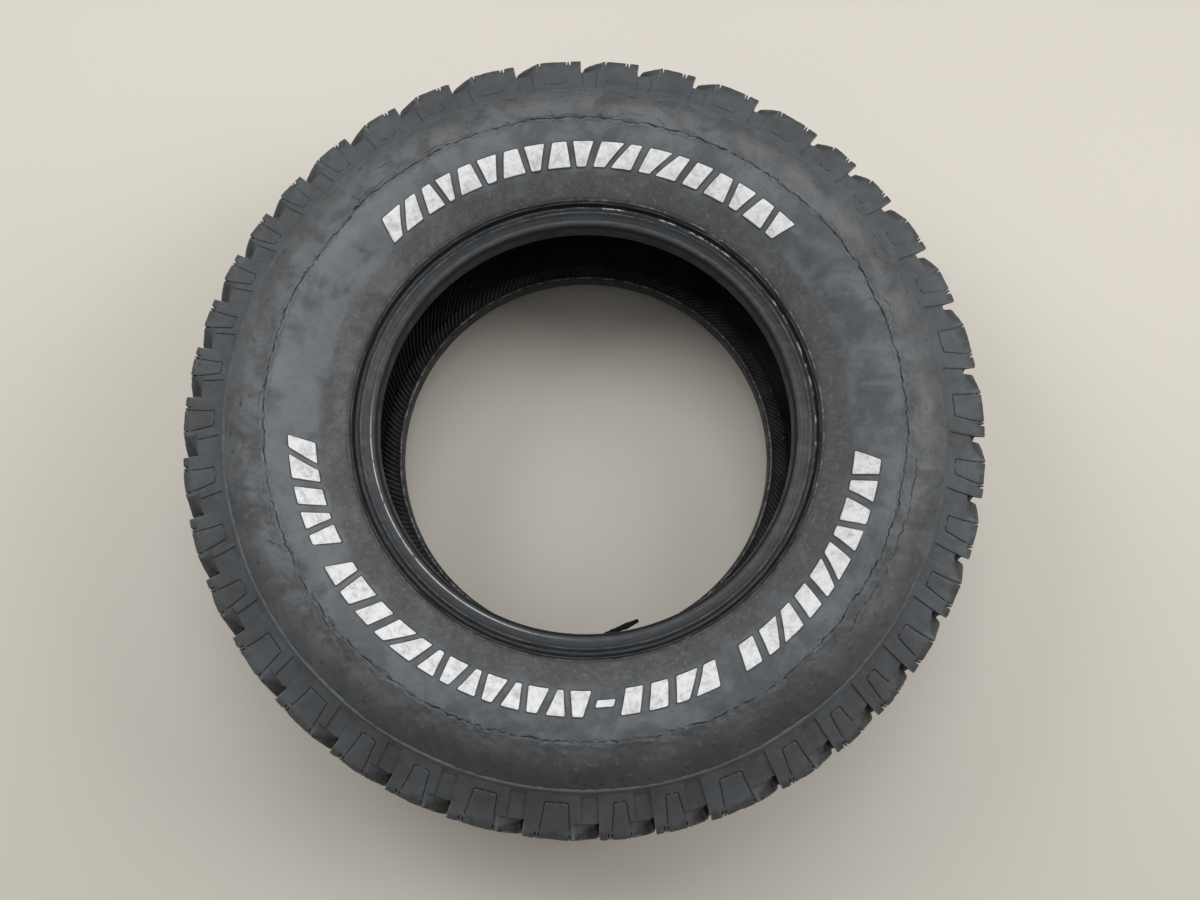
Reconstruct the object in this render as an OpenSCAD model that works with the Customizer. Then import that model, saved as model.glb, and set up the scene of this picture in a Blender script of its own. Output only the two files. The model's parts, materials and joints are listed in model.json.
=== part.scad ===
// A worn light-truck tyre with no wheel in it, lying flat on one sidewall.
// One moulding: two beads, two sidewalls and a treaded crown round an open cavity.
// The axis is Z. z = 0 is the floor that the lower sidewall lies on.

/* [Tyre] */
// Diameter over the middle of the worn crown
outer_d = 765; // [630:1:930]
// Width over the sidewalls, which is the height as the tyre lies
section_w = 248; // [205:1:300]
// Bore of the bead seats, for a 16 inch rim
bead_bore_d = 405.6; // [336:0.1:500]
// Width of the tread, shoulder edge to shoulder edge
tread_w = 195; // [155:1:205]
// Height that the crown arches above the shoulder edges
crown_arch = 3.5; // [2:0.5:9]

/* [Walls] */
// Thickness of the sidewall at its widest place
sidewall_t = 11; // [8:0.5:14]
// Thickness of the crown, tread and belts together
crown_t = 19; // [16:0.5:24]
// Place of the widest point, as a share of the way from clinch to shoulder
belly_at = 0.515; // [0.4:0.005:0.6]
// Width of the flat ring that the tyre lies on
foot_w = 12; // [8:1:18]

/* [Beads] */
// Opening between the two bead toes
bead_gap = 114; // [95:1:138]
// Length of the straight seat in each bead
seat_l = 14; // [10:0.5:18]
// Rounding of the bead toe
toe_r = 2; // [1:0.5:3]
// Rounding of the bead heel
heel_r = 6; // [4:0.5:8]
// Height of the flange face, from the bore outwards
flange_h = 14; // [12:1:16]
// Rise of the flange face along the axis
flange_rise = 4; // [2:1:8]
// Height of the clinch ring, from the bore outwards
clinch_h = 25; // [24:1:32]
// Rise from the flange face to the clinch ring
clinch_rise = 8; // [5:1:12]
// Depth of the groove between flange face and clinch ring
clinch_groove = 2.5; // [1:0.5:4]
// Thickness of the bead across its foot, toe side to heel side
bead_foot_t = 20; // [16:1:24]

/* [Sidewall rings] */
// Place of the mould rib, as a share of the way from the foot ring to the shoulder
rib_at = 0.382; // [0.3:0.002:0.42]
// Height of the mould rib
rib_h = 1.2; // [0.6:0.1:2]
// Width of the mould rib
rib_w = 3; // [2:0.5:5]
// Gap between the torn step line and the foot ring
step_gap = 2.6; // [2:0.1:8]
// Depth of the torn step line
step_d = 0.8; // [0.4:0.1:1.2]
// Width of the torn step line
step_w = 2.4; // [1:0.2:4]

/* [Raised marks] */
// Height of the pale raised marks
mark_h = 0.9; // [0.5:0.1:1.5]
// Place of the middle of the marks, as a share of the way from the clinch ring to the torn step line
mark_at = 0.527; // [0.46:0.001:0.6]
// Length of a mark along the radius
mark_l = 22; // [14:1:26]
// Gap between marks, in degrees
mark_gap = 1.4; // [1:0.1:3]

/* [Tread] */
// Depth left in the ring grooves
groove_d = 7; // [4:0.5:11]
// Width of the ring grooves
groove_w = 9; // [6:0.5:12]
// Distance of each ring groove from the middle of the tread
groove_z = 38; // [30:1:44]
// Depth of the notches between the shoulder lugs
notch_d = 11; // [7:0.5:12]
// Width of the notches
notch_w = 8; // [5:0.5:10]
// Width of the scoop that runs from each notch into the edge of the next lug
scoop_w = 20; // [14:1:22]
// Depth of the scoop along the axis
scoop_d = 12; // [6:1:16]
// Depth of the shallow panel below each notch
panel_d = 2.5; // [1.5:0.5:3.5]
// Width of the shallow panel
panel_w = 16; // [10:1:18]
// Gap between the shallow panel and the mould rib
panel_gap = 1.5; // [1:0.5:6]
// Width of the slots across the middle rib
slot_w = 6; // [4:0.5:8]
// Slant of the slots across the middle rib, in degrees
slot_slant = 28; // [0:1:40]
// Depth left in the slots across the middle rib
slot_d = 6; // [3:0.5:10]

/* [Hidden] */
$fn = 200;

// Lug pitches round the tyre: S short, M middle, L long, clockwise from the first notch's straight wall.
PITCHES = "MMMSSMLSSLLMMLLMMMMSSSSSMMMLLMMLLSSMMLLM";
PITCH_DEG = [["S", 7.6], ["M", 9.0], ["L", 10.4]];
FIRST_NOTCH = -7.25;

// Runs of raised marks: where each starts, clockwise, and its marks as N narrow, M middle, W wide.
MARK_RUNS = [[-5, "WWWNWN"], [-60, "WNNNMMMMWNW"], [-148, "MNW"], [-219, "WMWWWWWNWW"]];
MARK_DEG = [["N", 3.8], ["M", 7.0], ["W", 8.8]];

skin = 0.01;            // a cut starts this far clear of the face that it opens
root = 2;               // how deep an added band reaches into the rubber
clear = 20;             // how far a cutter stands out past the rubber
curve_n = 9;            // steps along each curved stretch of the section
toe_blunt = 0.3;        // share of the toe rounding where its corner is cut
clinch_edge_w = 3;      // width of the rounded edge of the clinch ring
clinch_edge_h = 1;      // drop of that edge
clinch_slope = 2;       // run of each side of the clinch groove
wall_round = 0.85;      // fullness of the curve from the foot ring down to the shoulder
wall_lean = 0.1;        // share of a plain straight slope in that curve
liner_round = 0.8;      // fullness of the liner round the shoulder
liner_drop = 0.5;       // share of the liner's height where the shoulder curve ends
bead_slope = 0.45;      // rise of the bead's foot for each millimetre outwards
groove_slope = 1;       // how much narrower a ring groove is on each side at its floor
panel_lead = 0.8;       // how far a panel starts ahead of its notch's straight wall
scoop_step = 0.5;       // how far inside the notch's corner the scoop starts

mid_z = section_w / 2;
bore_r = bead_bore_d / 2;
crown_r = outer_d / 2;
shoulder_r = crown_r - crown_arch;
shoulder_z = tread_w / 2;
crown_arc_r = (pow(shoulder_z, 2) + pow(crown_arch, 2)) / (2 * crown_arch);

toe_z = bead_gap / 2;
seat_z = toe_z + toe_r;
heel_z = seat_z + seat_l;
flange_r = bore_r + flange_h;
flange_z = heel_z + heel_r + flange_rise;
clinch_r = bore_r + clinch_h;
clinch_z = flange_z + clinch_rise;
belly_r = clinch_r + belly_at * (shoulder_r - clinch_r);
foot_in = belly_r - foot_w / 2;
foot_out = belly_r + foot_w / 2;
rib_r = foot_out + rib_at * (shoulder_r - foot_out);
step_r = foot_in - step_gap;
mark_r = clinch_r + mark_at * (step_r - clinch_r);
panel_r = rib_r + rib_w / 2 + panel_gap;
floor_r = shoulder_r - notch_d;
inner_crown_r = crown_r - crown_t;
inner_belly_z = mid_z - sidewall_t;
inner_shoulder_z = inner_belly_z * liner_drop;
inner_bead_r = bore_r + bead_foot_t;
inner_bead_z = toe_z + bead_foot_t * bead_slope;
groove_floor_z = flange_z + clinch_edge_h - clinch_groove;

// Crown radius at a height z from the middle.
function crown_at(z) = crown_r - crown_arc_r + sqrt(pow(crown_arc_r, 2) - z * z);

// Height of the outer sidewall at a radius r between the clinch ring and the shoulder.
function wall_z(r) =
    r <= foot_in ? clinch_z + (mid_z - clinch_z) * sin(90 * (r - clinch_r) / (foot_in - clinch_r))
    : r <= foot_out ? mid_z
    : mid_z - (mid_z - shoulder_z) * wall_fall((r - foot_out) / (shoulder_r - foot_out));

// Share of the drop from the foot ring to the shoulder at a share t of the way: steepest half way.
function wall_fall(t) = (1 - wall_lean) * pow(t * t * (3 - 2 * t), wall_round) + wall_lean * t;

function sum_to(list, n) = n <= 0 ? 0 : list[n - 1] + sum_to(list, n - 1);
function size_of(key, table) = table[search(key, table)[0]][1];

pitch_deg = [for (p = PITCHES) size_of(p, PITCH_DEG)];
notch_at = [for (i = [0:len(pitch_deg) - 1]) FIRST_NOTCH - sum_to(pitch_deg, i)];

// Upper half of the section, from the middle of the crown to the middle of the liner.
function crown_side() = [for (i = [0:3]) let (z = shoulder_z * i / 3) [crown_at(z), z]];
function outer_wall() = [for (i = [1:curve_n]) let (r = shoulder_r + (foot_out - shoulder_r) * i / curve_n)
    [r, wall_z(r)]];
function inner_wall() = [for (i = [0:curve_n]) let (r = foot_in + (clinch_r - foot_in) * i / curve_n)
    [r, wall_z(r)]];
function clinch() = [
    [clinch_r - clinch_edge_w, clinch_z - clinch_edge_h],
    [clinch_r - clinch_edge_w - clinch_slope, groove_floor_z],
    [flange_r + clinch_slope, groove_floor_z],
    [flange_r, flange_z]];
function heel() = [for (i = [0:4]) let (a = 100 + 20 * i)
    [bore_r + heel_r + heel_r * cos(a), heel_z + heel_r * sin(a)]];
function toe() = [
    [bore_r, seat_z],
    [bore_r + toe_r * toe_blunt, toe_z + toe_r * toe_blunt],
    [bore_r + toe_r, toe_z]];
function liner_low() = [for (i = [0:curve_n - 1]) let (t = i / curve_n)
    [inner_bead_r + (belly_r - inner_bead_r) * t,
     inner_bead_z + (inner_belly_z - inner_bead_z) * sin(90 * t)]];
function liner_high() = [for (i = [0:curve_n]) let (a = 90 * i / curve_n)
    [belly_r + (inner_crown_r - belly_r) * sin(a),
     inner_shoulder_z + (inner_belly_z - inner_shoulder_z) * pow(cos(a), liner_round)]];
function upper_half() = concat(crown_side(), outer_wall(), inner_wall(), clinch(), heel(), toe(),
    liner_low(), liner_high());
function mirrored(pts) = [for (i = [len(pts) - 1:-1:1]) [pts[i][0], -pts[i][1]]];

module carcass() {
    rotate_extrude() polygon(concat(upper_half(), mirrored(upper_half())));
}

// A band that follows the sidewall from r0 to r1, lifted by up and reaching down into the rubber.
module wall_band(r0, r1, up, deg) {
    n = 3;
    top = [for (i = [0:n]) let (r = r0 + (r1 - r0) * i / n) [r, wall_z(r) + up]];
    low = [for (i = [n:-1:0]) let (r = r0 + (r1 - r0) * i / n) [r, wall_z(r) - root]];
    rotate_extrude(angle = deg) polygon(concat(top, low));
}

module mould_rib() {
    rotate_extrude() polygon([
        [rib_r - rib_w / 2, wall_z(rib_r - rib_w / 2) - root],
        [rib_r - rib_w / 2, wall_z(rib_r - rib_w / 2)],
        [rib_r - rib_w / 6, wall_z(rib_r) + rib_h],
        [rib_r + rib_w / 6, wall_z(rib_r) + rib_h],
        [rib_r + rib_w / 2, wall_z(rib_r + rib_w / 2)],
        [rib_r + rib_w / 2, wall_z(rib_r + rib_w / 2) - root]]);
}

// The line where the rough outer rubber has torn away from the smooth inner band.
module torn_step() {
    rotate_extrude() polygon([
        [step_r - step_w / 2, wall_z(step_r - step_w / 2) + skin],
        [step_r, wall_z(step_r) - step_d],
        [step_r + step_w / 2, wall_z(step_r + step_w / 2) + skin],
        [step_r + step_w / 2, mid_z + clear],
        [step_r - step_w / 2, mid_z + clear]]);
}

module raised_marks() {
    for (run = MARK_RUNS) {
        wide = [for (m = run[1]) size_of(m, MARK_DEG)];
        for (i = [0:len(wide) - 1])
            rotate([0, 0, run[0] - sum_to(wide, i) - i * mark_gap - wide[i]])
                wall_band(mark_r - mark_l / 2, mark_r + mark_l / 2, mark_h, wide[i]);
    }
}

// Shallow panel that runs down the shoulder below a notch, clockwise from the notch's straight wall.
module shoulder_panel() {
    deg = panel_w / shoulder_r * 180 / PI;
    lead = panel_lead / shoulder_r * 180 / PI;
    rotate([0, 0, lead - deg]) rotate_extrude(angle = deg) polygon([
        [panel_r, wall_z(panel_r) + skin],
        [panel_r + panel_d, wall_z(panel_r + panel_d) - panel_d],
        [floor_r, wall_z(floor_r) - panel_d],
        [crown_r + clear, wall_z(floor_r) - panel_d],
        [crown_r + clear, mid_z + clear],
        [panel_r, mid_z + clear]]);
}

// Notch through the edge of the tread, with a scoop out of the lug on its clockwise side.
module shoulder_notch() {
    out_r = crown_r + clear;
    scoop_out = notch_w + (scoop_w - notch_w) * (out_r - floor_r) / (crown_r - floor_r);
    translate([floor_r, -notch_w, groove_z])
        cube([notch_d + clear, notch_w, mid_z + clear - groove_z]);
    translate([0, 0, shoulder_z - scoop_d])
        linear_extrude(mid_z + clear - shoulder_z)
            polygon([
                [floor_r + scoop_step, scoop_step - notch_w],
                [out_r, -scoop_out],
                [out_r, -notch_w / 2],
                [floor_r + scoop_step, -notch_w / 2]]);
}

module shoulder_cuts() {
    for (a = notch_at)
        rotate([0, 0, a]) {
            shoulder_panel();
            shoulder_notch();
        }
}

module ring_groove() {
    r = crown_at(groove_z) - groove_d;
    rotate_extrude() polygon([
        [r, groove_z - groove_w / 2 + groove_slope],
        [crown_r + clear, groove_z - groove_w / 2],
        [crown_r + clear, groove_z + groove_w / 2],
        [r, groove_z + groove_w / 2 - groove_slope]]);
}

module middle_slots() {
    for (i = [0:len(notch_at) - 1])
        rotate([0, 0, notch_at[i] - pitch_deg[i] / 2])
            translate([crown_r - slot_d, 0, 0])
                rotate([slot_slant, 0, 0])
                    translate([0, -slot_w / 2, -groove_z / cos(slot_slant)])
                        cube([slot_d + clear, slot_w, 2 * groove_z / cos(slot_slant)]);
}

module tyre() {
    color([0.13, 0.13, 0.135])
        translate([0, 0, mid_z])
            difference() {
                union() {
                    carcass();
                    mould_rib();
                    mirror([0, 0, 1]) mould_rib();
                    raised_marks();
                }
                torn_step();
                shoulder_cuts();
                mirror([0, 0, 1]) shoulder_cuts();
                ring_groove();
                mirror([0, 0, 1]) ring_groove();
                middle_slots();
            }
}

tyre();
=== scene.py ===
"""A worn light-truck tyre without a wheel, lying flat on a plain floor.

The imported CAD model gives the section's size. Each ring of the tyre is a closed grid wound round the axis,
with its columns and rows laid along the lugs, slots and torn edges that it shows.
"""

import json
import math
from functools import reduce

import bpy
import numpy as np
from bpy.props import FloatProperty, FloatVectorProperty, IntProperty, PointerProperty
from mathutils import Matrix, Vector


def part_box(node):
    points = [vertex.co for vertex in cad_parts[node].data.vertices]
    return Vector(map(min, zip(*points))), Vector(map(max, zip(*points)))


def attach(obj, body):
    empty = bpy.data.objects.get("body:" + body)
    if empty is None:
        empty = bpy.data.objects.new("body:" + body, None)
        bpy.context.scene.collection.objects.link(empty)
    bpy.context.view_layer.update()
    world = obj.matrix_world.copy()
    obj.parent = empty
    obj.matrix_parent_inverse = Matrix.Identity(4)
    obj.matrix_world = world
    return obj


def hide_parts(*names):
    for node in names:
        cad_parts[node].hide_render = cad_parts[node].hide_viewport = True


bl_info = {
    "name": "Worn Tyre",
    "version": (1, 0, 0),
    "blender": (4, 5, 0),
    "location": "View3D > Sidebar > Tyre",
    "description": "Builds a worn all-terrain tyre, ring by ring, round its packed frame",
    "category": "Add Mesh",
}

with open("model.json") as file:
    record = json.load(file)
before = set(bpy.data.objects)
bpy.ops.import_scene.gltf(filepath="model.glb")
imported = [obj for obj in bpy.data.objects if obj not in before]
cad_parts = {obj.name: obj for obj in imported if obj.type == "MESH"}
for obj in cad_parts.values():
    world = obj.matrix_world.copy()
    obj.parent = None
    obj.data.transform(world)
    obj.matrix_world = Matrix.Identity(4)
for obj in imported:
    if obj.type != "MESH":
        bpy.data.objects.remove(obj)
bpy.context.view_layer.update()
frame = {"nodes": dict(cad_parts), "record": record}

# ---------------------------------------------------------------- sizes read from the frame, in millimetres

MM = 0.001
NODE = "tyre"
BODY = "root"


def frame_sizes():
    """Crown radius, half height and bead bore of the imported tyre."""
    low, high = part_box(NODE)
    points = np.array([v.co for v in frame["nodes"][NODE].data.vertices])
    crown = float(np.hypot(points[:, 0], points[:, 1]).max()) / MM
    half = (high.z - low.z) / 2 / MM
    mounts = {m["name"]: m for m in frame["record"]["mounts"]}
    seat = mounts["upper_bead"]
    foot = mounts["rest_ring"]
    return {
        "crown_r": crown,
        "half_h": half,
        "bore_r": seat["dims"]["r_mm"],
        "seat_l": seat["dims"]["length_mm"],
        "seat_z": seat["pos_m"][2] / MM - half,
        "belly_r": foot["pos_m"][0] / MM,
    }


SIZE = frame_sizes()
CROWN_R = SIZE["crown_r"]
HALF_H = SIZE["half_h"]
BORE_R = SIZE["bore_r"]
BELLY_R = SIZE["belly_r"]

CROWN_ARCH = 3.5
CROWN_T = 19.0
WALL_T = 11.0
BEAD_FOOT_T = 20.0
TOE_ROUND = 2.0
SHOULDER_R = CROWN_R - CROWN_ARCH
SHOULDER_Z = 97.5
CROWN_ARC = (SHOULDER_Z**2 + CROWN_ARCH**2) / (2 * CROWN_ARCH)
HEEL_Z = SIZE["seat_z"] + SIZE["seat_l"] / 2
TOE_Z = SIZE["seat_z"] - SIZE["seat_l"] / 2 - TOE_ROUND
HEEL_ROUND = 6.0
FLANGE_R = BORE_R + 14.0
FLANGE_Z = HEEL_Z + HEEL_ROUND + 4.0
CLINCH_R = BORE_R + 25.0
CLINCH_Z = FLANGE_Z + 8.0
FOOT_HALF = 6.0
WALL_ROUND = 0.85
WALL_LEAN = 0.1
RIB_R = CROWN_R - 45.7
STEP_R = BELLY_R - 8.6
GROOVE_Z = 38.0
LINER_CROWN_R = CROWN_R - CROWN_T
LINER_BELLY_Z = HALF_H - WALL_T
LINER_SHOULDER_Z = LINER_BELLY_Z * 0.5
BEAD_IN_R = BORE_R + BEAD_FOOT_T
BEAD_IN_Z = TOE_Z + 9.0

# Lug pitches round the tyre: S short, M middle, L long, clockwise from the first notch's straight wall.
PITCHES = "MMMSSMLSSLLMMLLMMMMSSSSSMMMLLMMLLSSMMLLM"
PITCH_DEG = {"S": 7.6, "M": 9.0, "L": 10.4}
FIRST_NOTCH = 7.25

# Runs of raised marks: where each starts, clockwise, and its marks as N narrow, D dash, M middle, W wide.
MARK_RUNS = ((5, "WWWNWN"), (60, "WNNDMMMMWNW"), (148, "MNW"), (219, "WMWWWWWNWW"))
MARK_DEG = {"N": 3.8, "D": 3.8, "M": 7.0, "W": 8.8}


def crown_at(z):
    """Radius of the crown at a height z from the middle."""
    return CROWN_R - CROWN_ARC + np.sqrt(CROWN_ARC**2 - np.square(z))


def wall_at(r):
    """Height of the outer sidewall over the middle, at a radius from the clinch ring to the shoulder."""
    r = np.asarray(r, float)
    low = np.clip((r - CLINCH_R) / (BELLY_R - FOOT_HALF - CLINCH_R), 0, 1)
    high = np.clip((r - BELLY_R - FOOT_HALF) / (SHOULDER_R - BELLY_R - FOOT_HALF), 0, 1)
    inner = CLINCH_Z + (HALF_H - CLINCH_Z) * np.sin(low * math.pi / 2)
    fall = (1 - WALL_LEAN) * np.power(high * high * (3 - 2 * high), WALL_ROUND) + WALL_LEAN * high
    outer = HALF_H - (HALF_H - SHOULDER_Z) * fall
    return np.where(r <= BELLY_R, inner, outer)


# ---------------------------------------------------------------- shaping helpers


def smooth(low, high, x):
    """0 before low, 1 after high, and an even curve between."""
    t = np.clip((x - low) / (high - low), 0, 1)
    return t * t * (3 - 2 * t)


def soft_min(a, b, k):
    """The smaller of a and b, rounded over the last k where they meet."""
    h = np.clip(0.5 + 0.5 * (b - a) / k, 0, 1)
    return b + (a - b) * h - k * h * (1 - h)


def lowest(parts):
    return reduce(np.minimum, parts)


def highest(parts):
    return reduce(np.maximum, parts)


def triangle(x):
    """A zigzag of period 1 between -1 and 1."""
    return 4 * np.abs((x + 0.25) % 1 - 0.5) - 1


def waves(angle, along, radius, size, seed, count=18):
    """Smooth random waves of about that size in mm, which close up round the tyre. About -2 to 2."""
    rng = np.random.default_rng(seed)
    total = 0
    for _ in range(count):
        heading = rng.uniform(0, 2 * math.pi)
        length = size * rng.uniform(0.6, 1.7)
        turns = round(2 * math.pi * radius * math.cos(heading) / length)
        climb = 2 * math.pi * math.sin(heading) / length
        total = total + np.cos(turns * angle + climb * along + rng.uniform(0, 2 * math.pi))
    return total / math.sqrt(count / 2)


def ragged(angle, radius, step, size, seed):
    """A jagged line round the tyre: straight runs between random points about step mm apart."""
    rng = np.random.default_rng(seed)
    knots = np.sort(rng.uniform(0, 2 * math.pi, int(2 * math.pi * radius / step)))
    offs = rng.uniform(-size, size, len(knots))
    return np.interp(angle % (2 * math.pi), knots, offs, period=2 * math.pi)


def lay_pitches():
    """Start angle and length in degrees of each lug pitch, clockwise."""
    lengths = np.array([PITCH_DEG[p] for p in PITCHES])
    starts = FIRST_NOTCH + np.concatenate(([0], np.cumsum(lengths)[:-1]))
    return starts, lengths


# ---------------------------------------------------------------- mesh helpers


def ring_piece(name, radius, height, angle, sharp_deg=38, side=1, **attributes):
    """A closed ring from grids of radius, height over the middle and clockwise angle. Its rows close too."""
    rows, cols = radius.shape
    radius = np.minimum(radius, CROWN_R)
    height = np.clip(height, -HALF_H, HALF_H) * side
    xyz = np.stack([radius * np.cos(angle), -radius * np.sin(angle), height + HALF_H], -1) * MM
    index = np.arange(rows * cols).reshape(rows, cols)
    below = np.roll(index, -1, 0)
    quads = np.stack([index, below, np.roll(below, -1, 1), np.roll(index, -1, 1)], -1).reshape(-1, 4)
    if side < 0:
        quads = quads[:, ::-1]
    return mesh_piece(name, xyz.reshape(-1, 3), quads, sharp_deg, attributes)


def mesh_piece(name, points, faces, sharp_deg=38, attributes=None):
    """A smooth-shaded mesh object, with an edge kept sharp where it turns by more than sharp_deg."""
    mesh = bpy.data.meshes.new(name)
    sides = faces.shape[1]
    mesh.vertices.add(len(points))
    mesh.vertices.foreach_set("co", np.ascontiguousarray(points, np.float32).ravel())
    mesh.loops.add(faces.size)
    mesh.loops.foreach_set("vertex_index", np.ascontiguousarray(faces, np.int32).ravel())
    mesh.polygons.add(len(faces))
    mesh.polygons.foreach_set("loop_start", np.arange(0, faces.size, sides, dtype=np.int32))
    for key, values in (attributes or {}).items():
        layer = mesh.attributes.new(key, "FLOAT", "POINT")
        layer.data.foreach_set("value", np.ascontiguousarray(values, np.float32).ravel())
    mesh.update(calc_edges=True)
    mesh.validate()
    mesh.shade_smooth()
    mesh.set_sharp_from_angle(angle=math.radians(sharp_deg))
    piece = bpy.data.objects.new(name, mesh)
    bpy.context.scene.collection.objects.link(piece)
    return piece


def finish_piece(piece, material):
    """Gives a piece its material and its place on the frame."""
    piece.data.materials.append(material)
    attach(piece, BODY)
    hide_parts(NODE)
    return piece


CAVITY_DEEP = 40.0


def edge_wear_and_hollow_shade(radius, height, spread=1.2):
    """How much each grid point stands out over its neighbours, from -1 in a hollow to 1 on an edge, for pale
    wear on edges and painted shade in hollows.
    """
    def around(a):
        return (np.roll(a, 1, 0) + np.roll(a, -1, 0) + np.roll(a, 1, 1) + np.roll(a, -1, 1)) / 4
    out_r, out_z = radius - around(radius), height - around(height)
    focus_r, focus_z = radius - LINER_CROWN_R + CAVITY_DEEP, height
    length = np.hypot(focus_r, focus_z) + 1e-6
    return np.clip((out_r * focus_r + out_z * focus_z) / length / spread, -1, 1)


# ---------------------------------------------------------------- shoulder lugs

NOTCH_D = 14.0
NOTCH_W = 6.8
NOTCH_FOOT_W = 3.4
LIP_R = SHOULDER_R - NOTCH_D + 0.4
LIP_D = 1.6
SCOOP_W = 22.0
SCOOP_D = 24.0
PANEL_R = RIB_R + 3.4
PANEL_W = 17.0
PANEL_D = 1.4
PANEL_LOW_Z = 92.0
WALL_SLOPE = 0.8
OUTLINE_R = RIB_R + 10.2
LINE_HALF = 0.42
LINE_D = 1.1
LINE_END = 373.0
LINE_LOW_Z = 70.0
LINE_CORNER = 2.2
NICK_HALF = 0.8
NICK_D = 4.8
NICK_LOW_Z = 66.0
SIPE_HALF = 0.4
SIPE_LOW_Z = 50.0
TOOTH_SHARE = 0.165
LEAN_FIRST = 2.0
LEAN_LAST = 2.6
SLOT_LEAN = 6.3
SLOT_BEND_Z = 72.0
AIM_R = 346.0
AIM_Z = 72.0
AIM_AWAY = 40.0
CUT_REACH = 15.0
CUT_ROUND = 0.8
GROOVE_HALF = 4.5
GROOVE_D = 7.0
SIPE_D = 4.5
SKEW_DEG = 0.9
SKEW_AT = math.radians(15)


def lug_places(pitch):
    """Places at the tread, in mm clockwise of the notch wall, of a lug's outline sides and of its nick."""
    nick = pitch * (1 - TOOTH_SHARE)
    return np.minimum(0.43 * pitch, 26.5), nick - 3.2, nick


def lug_columns(pitch, fine=True):
    """Columns of one lug pitch, each as its place at the tread and its place at the foot of the outline."""
    first, last, nick = lug_places(pitch)
    notch = [NOTCH_W - 0.25, NOTCH_W + 0.35]
    plain = [0.12, 2.4, 4.0] + notch + [8.0, 11.4, 15.2]
    if fine:
        plain = [0.12, 1.0, 2.4, 4.0, 5.4] + notch + [8.0, 9.6, 11.4, 13.4, 15.2]
    plain += [PANEL_W - 0.3, PANEL_W + 0.3, PANEL_W + 1.8]
    columns = [(x, x) for x in plain]
    columns += [(first + d, first + LEAN_FIRST + d) for d in (-3.2, -1.2, -0.6, -0.25, 0.25, 0.6, 1.2)]
    start = np.array([first + 1.2, first + LEAN_FIRST + 1.2])
    end = np.array([last - 1.2, last - LEAN_LAST - 1.2])
    inside = (0.2, 0.42, 0.5, 0.58, 0.8) if fine else (0.25, 0.5, 0.75)
    columns += [tuple(start + t * (end - start)) for t in inside]
    columns += [(last + d, last - LEAN_LAST + d) for d in (-1.2, -0.6, -0.25, 0.25, 0.6)]
    columns += [(nick + d, nick + d) for d in (-1.5, -0.8, 0, 0.8, 1.5)]
    tooth = [nick + 1.5 + t * (pitch - nick - 1.5) for t in (0.3, 0.6, 0.85)]
    columns += [(x, x) for x in tooth + [pitch - 0.12]]
    return np.array(columns)


def lug_rows(fine=True):
    """Rows of the shoulder band, as points on the uncut section from the ring groove round to the rib."""
    crown = [GROOVE_Z, GROOVE_Z + 2.2, GROOVE_Z + GROOVE_HALF - 0.4, GROOVE_Z + GROOVE_HALF + 0.4]
    crown += list(np.arange(46.5, 72, 4.2))
    crown += list(np.arange(72, 96, 2.2 if fine else 4.4)) + [SHOULDER_Z - 0.9]
    drops = (0.0, 0.6, 1.8, 3.4, 5.4, 7.6, 9.8, 11.8) if fine else (0.0, 1.8, 5.4, 9.8)
    face = [SHOULDER_R - drop for drop in drops] + [LIP_R + 0.7, LIP_R, LIP_R - 0.7, LIP_R - 2.2]
    face += list(np.linspace(LIP_R - 5, OUTLINE_R + 3.2, 5 if fine else 3))
    face += [OUTLINE_R + d for d in (1.2, 0.6, 0.25, -0.25, -0.6, -1.2, -3.0)]
    face += [PANEL_R + 0.9, PANEL_R - 0.3]
    points = [(float(crown_at(z)), z) for z in crown] + [(r, float(wall_at(r))) for r in face]
    return np.array(points)


def rib_rows():
    """Rows over the raised mould rib and down under the sidewall band."""
    offs = ((1.3, 0.0), (0.8, 0.45), (0.3, 0.75), (-0.3, 0.75), (-0.8, 0.45), (-1.3, 0.0), (-2.6, -1.2))
    return np.array([(RIB_R + d, float(wall_at(RIB_R + d)) + up) for d, up in offs])


def fine_cuts(x, pitch, r, z, rubbed=0.0):
    """Distance in mm to the thin cuts of a lug, negative inside: its outline, its nick and its sipes.

    Where rubbed is 1, the two sides of the outline are nearly worn away.
    """
    first, last, nick = lug_places(pitch)
    foot = smooth(SHOULDER_R - 2, OUTLINE_R, r)
    under = (wall_at(r) - z) * WALL_SLOPE
    left = first + LEAN_FIRST * foot
    right = last - LEAN_LAST * foot
    inside_x = np.minimum(x - left, right - x)
    inside_r = r - OUTLINE_R
    corner_x, corner_r = inside_x - LINE_CORNER, inside_r - LINE_CORNER
    edge = LINE_CORNER - np.hypot(np.minimum(corner_x, 0), np.minimum(corner_r, 0))
    edge = np.where((corner_x > 0) | (corner_r > 0), np.minimum(inside_x, inside_r), edge)
    broken = np.where((corner_x > 0) & (corner_r < 0), 1.5 - np.abs(x - (left + right) / 2), -1.0)
    line_d = LINE_D * (1 - 0.85 * rubbed * smooth(OUTLINE_R + 1.5, OUTLINE_R + 5, r))
    outline = highest([np.abs(edge) - LINE_HALF, under - line_d, broken, LINE_LOW_Z - z, r - LINE_END])
    nick_floor = SHOULDER_R - NICK_D
    nick_half = NICK_HALF * np.clip((r - nick_floor) / NICK_D + 0.35, 0, 1)
    nick_cut = highest([np.abs(x - nick) - nick_half, nick_floor - r, NICK_LOW_Z - z])
    sipe = lowest([np.abs(x - first), np.abs(x - last)]) - SIPE_HALF
    sipe = highest([sipe, crown_at(z) - SIPE_D - r, SIPE_LOW_Z - z])
    return lowest([outline, nick_cut, sipe])


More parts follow.
